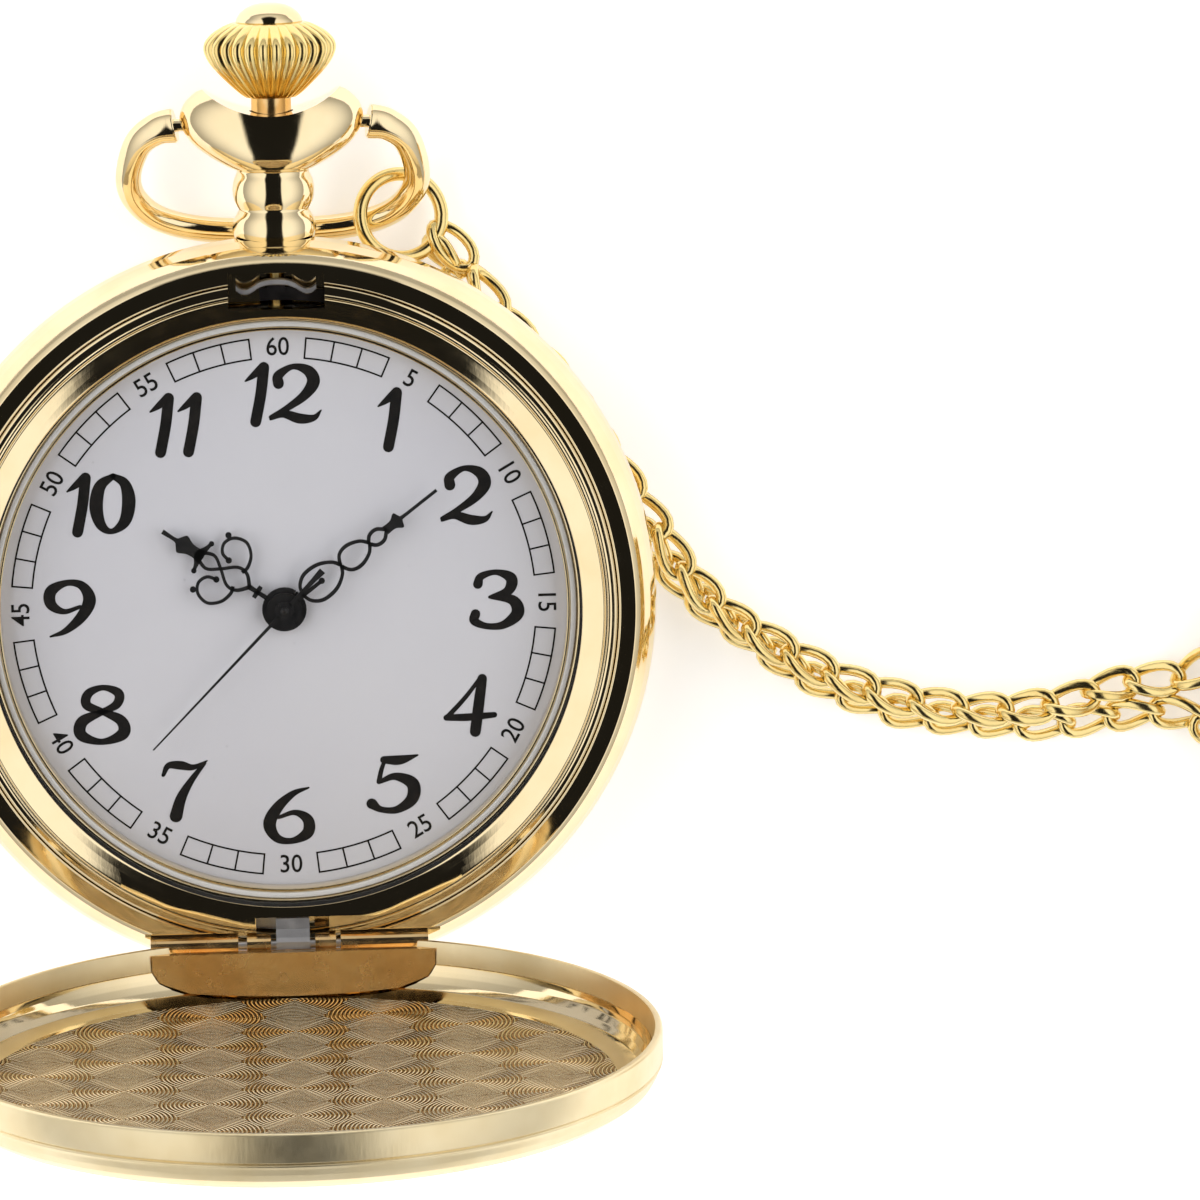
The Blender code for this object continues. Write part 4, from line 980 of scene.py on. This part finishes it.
SIX = [(0.60, 0.97, 0.015), (0.40, 0.87, 0.05), (0.20, 0.62, 0.085), (0.10, 0.32, 0.1), (0.20, 0.06, 0.07)]
SIX += [(0.40, 0.0, 0.05), (0.60, 0.14, 0.09), (0.60, 0.38, 0.085), (0.43, 0.52, 0.045), (0.22, 0.44, 0.03)]
DIGITS = {
    "0": [
        [(0.36, 1.0, 0.045), (0.14, 0.82, 0.09), (0.08, 0.45, 0.105), (0.17, 0.12, 0.08), (0.36, 0.0, 0.045),
         (0.58, 0.18, 0.09), (0.64, 0.55, 0.105), (0.56, 0.86, 0.08), (0.36, 1.0, 0.045)],
    ],
    "1": [
        [(0.06, 0.74, 0.015), (0.20, 0.84, 0.05), (0.36, 0.98, 0.07)],
        [(0.38, 0.98, 0.085), (0.34, 0.5, 0.085), (0.26, 0.0, 0.085)],
    ],
    "2": [
        [(0.12, 0.68, 0.085), (0.12, 0.83, 0.075), (0.32, 0.98, 0.045), (0.54, 0.90, 0.085),
         (0.62, 0.70, 0.1), (0.50, 0.46, 0.075), (0.26, 0.24, 0.05), (0.02, 0.08, 0.03)],
        [(0.02, 0.04, 0.02), (0.20, 0.13, 0.06), (0.44, 0.04, 0.08), (0.64, 0.05, 0.05), (0.74, 0.18, 0.012)],
    ],
    "3": [
        [(0.10, 0.78, 0.075), (0.14, 0.92, 0.06), (0.34, 0.99, 0.045), (0.54, 0.87, 0.09),
         (0.50, 0.64, 0.075), (0.26, 0.54, 0.025)],
        [(0.26, 0.54, 0.025), (0.56, 0.48, 0.08), (0.64, 0.24, 0.1), (0.46, 0.03, 0.065), (0.24, 0.01, 0.05),
         (0.07, 0.11, 0.07), (0.08, 0.24, 0.075)],
    ],
    "4": [
        [(0.50, 1.0, 0.03), (0.28, 0.64, 0.035), (0.02, 0.29, 0.04)],
        [(0.0, 0.27, 0.05), (0.34, 0.27, 0.06), (0.72, 0.30, 0.045)],
        [(0.52, 0.97, 0.075), (0.48, 0.5, 0.085), (0.44, 0.0, 0.085)],
    ],
    "5": [
        [(0.22, 0.95, 0.03), (0.17, 0.75, 0.035), (0.14, 0.53, 0.04)],
        [(0.20, 0.93, 0.06), (0.42, 0.92, 0.075), (0.66, 1.0, 0.015)],
        [(0.14, 0.52, 0.03), (0.36, 0.62, 0.06), (0.60, 0.48, 0.1), (0.60, 0.20, 0.095), (0.40, 0.01, 0.06),
         (0.18, 0.02, 0.05), (0.05, 0.13, 0.085)],
    ],
    "6": [SIX],
    "7": [
        [(0.04, 0.76, 0.03), (0.12, 0.93, 0.05), (0.32, 0.93, 0.07), (0.52, 0.89, 0.045), (0.74, 1.0, 0.012)],
        [(0.70, 0.96, 0.03), (0.50, 0.66, 0.05), (0.34, 0.34, 0.08), (0.26, 0.0, 0.1)],
    ],
    "8": [
        [(0.36, 0.55, 0.05), (0.15, 0.68, 0.075), (0.17, 0.89, 0.07), (0.36, 0.99, 0.045),
         (0.56, 0.88, 0.075), (0.54, 0.68, 0.07), (0.36, 0.55, 0.05), (0.10, 0.38, 0.09),
         (0.09, 0.13, 0.09), (0.36, 0.0, 0.05),
         (0.63, 0.14, 0.095), (0.60, 0.38, 0.085), (0.36, 0.55, 0.05)],
    ],
    "9": [[(0.70 - x, 1.0 - y, w) for x, y, w in SIX]],
}
SPREAD = dict(zip("0123456789", (1.04, 1.0, 1.25, 1.36, 1.2, 1.32, 1.38, 1.12, 1.38, 1.38)))
NUMERAL_HEIGHT, NUMERAL_RADIUS, NUMERAL_RAISE = 3.5, 13.4, 0.18
FIGURE_HEIGHT, FIGURE_RADIUS, FIGURE_NARROWING = 1.62, 16.5, 0.93
TRACK_IN, TRACK_OUT, TRACK_LINE = 15.86, 17.13, 0.055


def make_hour_numerals():
    build = bmesh.new()
    for hour in range(1, 13):
        angle = radians(90 - 30 * hour)
        center = Vector((cos(angle), sin(angle))) * NUMERAL_RADIUS + Vector((0, NUMERAL_RAISE))
        digits = str(hour)
        advances = [0.5 if d == "1" else 0.72 * SPREAD[d] for d in digits]
        width = sum(advances)
        pen = -width / 2 + (0.04 if digits[0] == "1" else 0.0)
        for digit, advance in zip(digits, advances):
            for layer, stroke in enumerate(DIGITS[digit]):
                def move(p, pen=pen, spread=SPREAD[digit]):
                    slant = 0.05 * (p.y - 0.5)
                    return center + Vector((pen + p.x * spread + slant, p.y - 0.5)) * NUMERAL_HEIGHT

                pen_stroke(build, stroke, PRINT_Z + 0.004 * layer, move)
            pen += advance
    finish_piece("hour_numerals", mesh_from("hour_numerals", build), "case", INK)


def make_track():
    """Three open boxes between each pair of five-minute figures."""
    build = bmesh.new()
    half = TRACK_LINE
    for group in range(12):
        minutes = [5 * group + k for k in (1, 2, 3, 4)]
        angles = [radians(90 - 6 * m) for m in minutes]
        for a in angles:
            along = Vector((cos(a), sin(a)))
            ribbon(build, [along * (TRACK_IN - half), along * (TRACK_OUT + half)], [half] * 2, PRINT_Z)
        for radius in (TRACK_IN, TRACK_OUT):
            arc = [angles[0] + (angles[-1] - angles[0]) * k / 12 for k in range(13)]
            ribbon(build, [Vector((cos(a), sin(a))) * radius for a in arc], [half] * 13, PRINT_Z + 0.001)
    finish_piece("minute_track", mesh_from("minute_track", build), "case", INK)


def make_minute_figures():
    """Small plain figures, with their tops outward over the dial's upper half and inward below."""
    meshes = []
    for group in range(1, 13):
        curve = bpy.data.curves.new("figure", "FONT")
        curve.body = str(5 * group)
        curve.size = FIGURE_HEIGHT
        curve.align_x = "CENTER"
        curve.align_y = "CENTER"
        curve.offset = 0.012
        curve.resolution_u = 4
        holder = bpy.data.objects.new("figure", curve)
        bpy.context.scene.collection.objects.link(holder)
        bpy.context.view_layer.update()
        graph = bpy.context.evaluated_depsgraph_get()
        mesh = bpy.data.meshes.new_from_object(holder.evaluated_get(graph))
        bpy.data.objects.remove(holder, do_unlink=True)
        angle = 90 - 30 * group
        tops_out = group in (12, 1, 2, 3, 9, 10, 11)
        spin = radians(angle - 90 if tops_out else angle + 90)
        angle = radians(angle)
        place = Vector((FIGURE_RADIUS * cos(angle), FIGURE_RADIUS * sin(angle), PRINT_Z))
        narrow = Matrix.Diagonal((FIGURE_NARROWING, 1.0, 1.0, 1.0))
        mesh.transform(Matrix.Translation(place) @ Matrix.Rotation(spin, 4, "Z") @ narrow)
        meshes.append(mesh)
    build = bmesh.new()
    for mesh in meshes:
        build.from_mesh(mesh)
    finish_piece("minute_figures", mesh_from("minute_figures", build), "case", INK)


make_hour_numerals()
make_track()
make_minute_figures()


# ------------------------------------------------------------------ hands


def eye(build, radius, half, z, sides=32):
    """The flat ring in which a hand sits on its arbor."""
    angles = [TURN * k / sides for k in range(sides + 1)]
    ribbon(build, [Vector((radius * cos(a), radius * sin(a))) for a in angles], [half] * len(angles), z)


def disc(build, center, radius, z, sides=32):
    round_end(build, Vector(center), radius, z, sides)


def hand_piece(name, draw, z_low, thickness, clock_angle, body, replaced):
    """A hand drawn flat toward 12, thickened and turned clockwise to its reading."""
    build = bmesh.new()
    draw(build, z_low)
    bmesh.ops.recalc_face_normals(build, faces=build.faces)
    grown = bmesh.ops.extrude_face_region(build, geom=list(build.faces))
    tops = [v for v in grown["geom"] if isinstance(v, bmesh.types.BMVert)]
    bmesh.ops.translate(build, verts=tops, vec=(0, 0, thickness))
    turn = PLACE @ Matrix.Rotation(radians(-clock_angle), 4, "Z")
    finish_piece(name, mesh_from(name, build, 40, turn), body, HAND_BLACK, replaced)


def plain_hand_strokes(build, strokes, z):
    for stroke in strokes:
        points = curve_points(stroke, 6)
        ribbon(build, [Vector((p[0], p[1])) for p in points], [p[2] for p in points], z)


def mirrored(stroke):
    return [(-x, y, w) for x, y, w in stroke]


def both_sides(*strokes):
    return [s for stroke in strokes for s in (stroke, mirrored(stroke))]


def draw_hour(build, z):
    """A disc, a small cross, two open scrolls with a lattice between, then a barbed spearhead."""
    eye(build, 1.12, 0.28, z)
    neck = [(0, 1.3, 0.14), (0, 2.0, 0.14), (0, 2.7, 0.17)]
    cross = [(-0.42, 2.02, 0.13), (0, 2.02, 0.16), (0.42, 2.02, 0.13)]
    scroll = [(0.52, 3.5, 0.11), (1.0, 3.38, 0.11), (1.75, 3.62, 0.1), (2.28, 4.3, 0.1), (2.1, 5.1, 0.1)]
    scroll += [(1.5, 5.45, 0.1), (0.9, 5.2, 0.1), (0.72, 4.6, 0.1)]
    lens = [(0, 2.6, 0.13), (0.62, 3.2, 0.11), (0.66, 3.9, 0.1), (0, 4.75, 0.1)]
    lens += [(-0.48, 5.5, 0.1), (-0.3, 6.2, 0.12)]
    strokes = [neck, cross, *both_sides(scroll, lens)]
    barbs = [(-1.02, 6.1, 0.1), (-0.6, 6.2, 0.15), (0, 6.35, 0.3), (0.6, 6.2, 0.15), (1.02, 6.1, 0.1)]
    head = [(0, 6.1, 0.5), (0, 6.6, 0.36), (0, 7.1, 0.4), (0, 7.62, 0.62), (0, 7.9, 0.34), (0, 8.15, 0.13)]
    strokes += [barbs, head + [(0, 9.1, 0.15)]]
    plain_hand_strokes(build, strokes, z)
    for side in (-1, 1):
        disc(build, (side * 0.72, 4.62), 0.2, z, 16)
        disc(build, (side * 2.05, 5.5), 0.2, z, 16)
        disc(build, (side * 1.02, 6.1), 0.17, z, 16)


def draw_minute(build, z):
    """Heart-shaped and oval loops of falling size, a barbed leaf and a needle."""
    eye(build, 0.8, 0.31, z)
    neck = [(0, 1.0, 0.17), (0, 1.6, 0.13), (0, 2.9, 0.12)]
    heart = [(0, 1.5, 0.1), (0.62, 1.75, 0.11), (1.02, 2.4, 0.12), (0.98, 3.4, 0.12), (0.55, 4.2, 0.11)]
    heart.append((0, 4.6, 0.13))
    oval = [(0, 4.5, 0.12), (0.62, 4.9, 0.11), (0.78, 5.6, 0.12), (0.5, 6.4, 0.11), (0, 6.85, 0.12)]
    small = [(0, 6.75, 0.12), (0.4, 7.15, 0.12), (0.42, 7.7, 0.12), (0, 8.2, 0.12)]
    leaf = [(0, 8.1, 0.3), (0, 8.45, 0.28), (0, 8.75, 0.32), (0, 9.15, 0.55), (0, 9.35, 0.2), (0, 9.6, 0.11)]
    needle = [(0, 12.2, 0.1)]
    plain_hand_strokes(build, [neck, *both_sides(heart, oval, small), leaf + needle], z)
    disc(build, (0, 3.0), 0.2, z, 16)


def draw_second(build, z):
    """A needle and a widening tail."""
    eye(build, 0.40, 0.21, z)
    needle = [(0, 0.5, 0.11), (0, 4.0, 0.085), (0, 12.1, 0.045)]
    tail = [(0, -0.5, 0.12), (0, -2.2, 0.14), (0, -3.5, 0.22)]
    plain_hand_strokes(build, [needle, tail], z)


# Height above the dial, thickness, and degrees clockwise from 12
HOUR_HAND = (0.62, 0.16, 304.4)
MINUTE_HAND = (1.0, 0.14, 52.8)
SECOND_HAND = (1.36, 0.10, 224.4)
hand_piece("hour_hand_look", draw_hour, *HOUR_HAND, "hours", ["hour_hand"])
hand_piece("minute_hand_look", draw_minute, *MINUTE_HAND, "minutes", ["minute_hand"])
hand_piece("second_hand_look", draw_second, *SECOND_HAND, "seconds", ["second_hand"])

hub = [(0, 1.66), (0.16, 1.64), (0.26, 1.56), (0.27, 1.47), (0, 1.46)]
hub_mesh = mesh_from("second_hub", turned(hub, 32))
finish_piece("second_hub", hub_mesh, "seconds", HAND_BLACK)


# ------------------------------------------------------------------ floor, light and background

floor_build = bmesh.new()
bmesh.ops.create_grid(floor_build, x_segments=4, y_segments=4, size=3.0)
floor_mesh = bpy.data.meshes.new("floor")
floor_build.to_mesh(floor_mesh)
floor_build.free()
floor = bpy.data.objects.new("floor", floor_mesh)
bpy.context.scene.collection.objects.link(floor)
floor.location.z = -0.0006
floor_look, floor_tree, floor_shader = new_material("pale_floor", (0.93, 0.93, 0.93), 0.0, 0.9)
floor_shader.inputs["Specular IOR Level"].default_value = 0.0
floor_shader.inputs["Emission Color"].default_value = (1.0, 1.0, 1.0, 1.0)
floor_shader.inputs["Emission Strength"].default_value = 0.35
floor_mesh.materials.append(floor_look)

world = bpy.data.worlds.new("studio")
bpy.context.scene.world = world
world.use_nodes = True
tree = world.node_tree
background = tree.nodes["Background"]
direction = tree.nodes.new("ShaderNodeTexCoord").outputs["Generated"]


def smooth_step(value, start, end, low=0.0, high=1.0):
    """Goes smoothly from low to high as the value goes from start to end."""
    node = tree.nodes.new("ShaderNodeMapRange")
    node.interpolation_type = "SMOOTHSTEP"
    for name, number in (("From Min", start), ("From Max", end), ("To Min", low), ("To Max", high)):
        node.inputs[name].default_value = number
    tree.links.new(value, node.inputs["Value"])
    return node.outputs["Result"]


# Two tall softboxes with a dark gap between them overhead, which runs from the crown's side to the lid's
GAP_GLOW = 0.012
split = tree.nodes.new("ShaderNodeSeparateXYZ")
tree.links.new(direction, split.inputs[0])
beside = math_node(tree, "ABSOLUTE", split.outputs["X"])
outside_gap = smooth_step(beside, 0.31, 0.38)
above = split.outputs["Z"]
below_gap = smooth_step(above, 0.42, 0.52, 1.0, 0.0)
lit = math_node(tree, "MAXIMUM", outside_gap, below_gap)
fall = smooth_step(above, -0.05, 0.8, 0.42, 1.12)
brightness = math_node(tree, "ADD", math_node(tree, "MULTIPLY", lit, fall), GAP_GLOW)
tree.links.new(brightness, background.inputs["Strength"])
background.inputs["Color"].default_value = (1.0, 0.992, 0.98, 1.0)


def area_light(name, place, target, size, power):
    light = bpy.data.lights.new(name, "AREA")
    light.shape = "RECTANGLE"
    light.size, light.size_y = size
    light.energy = power
    thing = bpy.data.objects.new(name, light)
    thing.visible_glossy = False
    bpy.context.scene.collection.objects.link(thing)
    thing.location = place
    thing.rotation_euler = (Vector(target) - Vector(place)).to_track_quat("-Z", "Y").to_euler()


area_light("softbox_left", (-0.55, 0.15, 0.55), (0, 0, 0), (0.8, 1.0), 3.1)
area_light("softbox_right", (0.6, 0.1, 0.5), (0.02, 0, 0), (0.8, 1.0), 2.8)
bpy.context.scene.view_settings.view_transform = "Standard"
bpy.context.scene.view_settings.exposure = 0.0
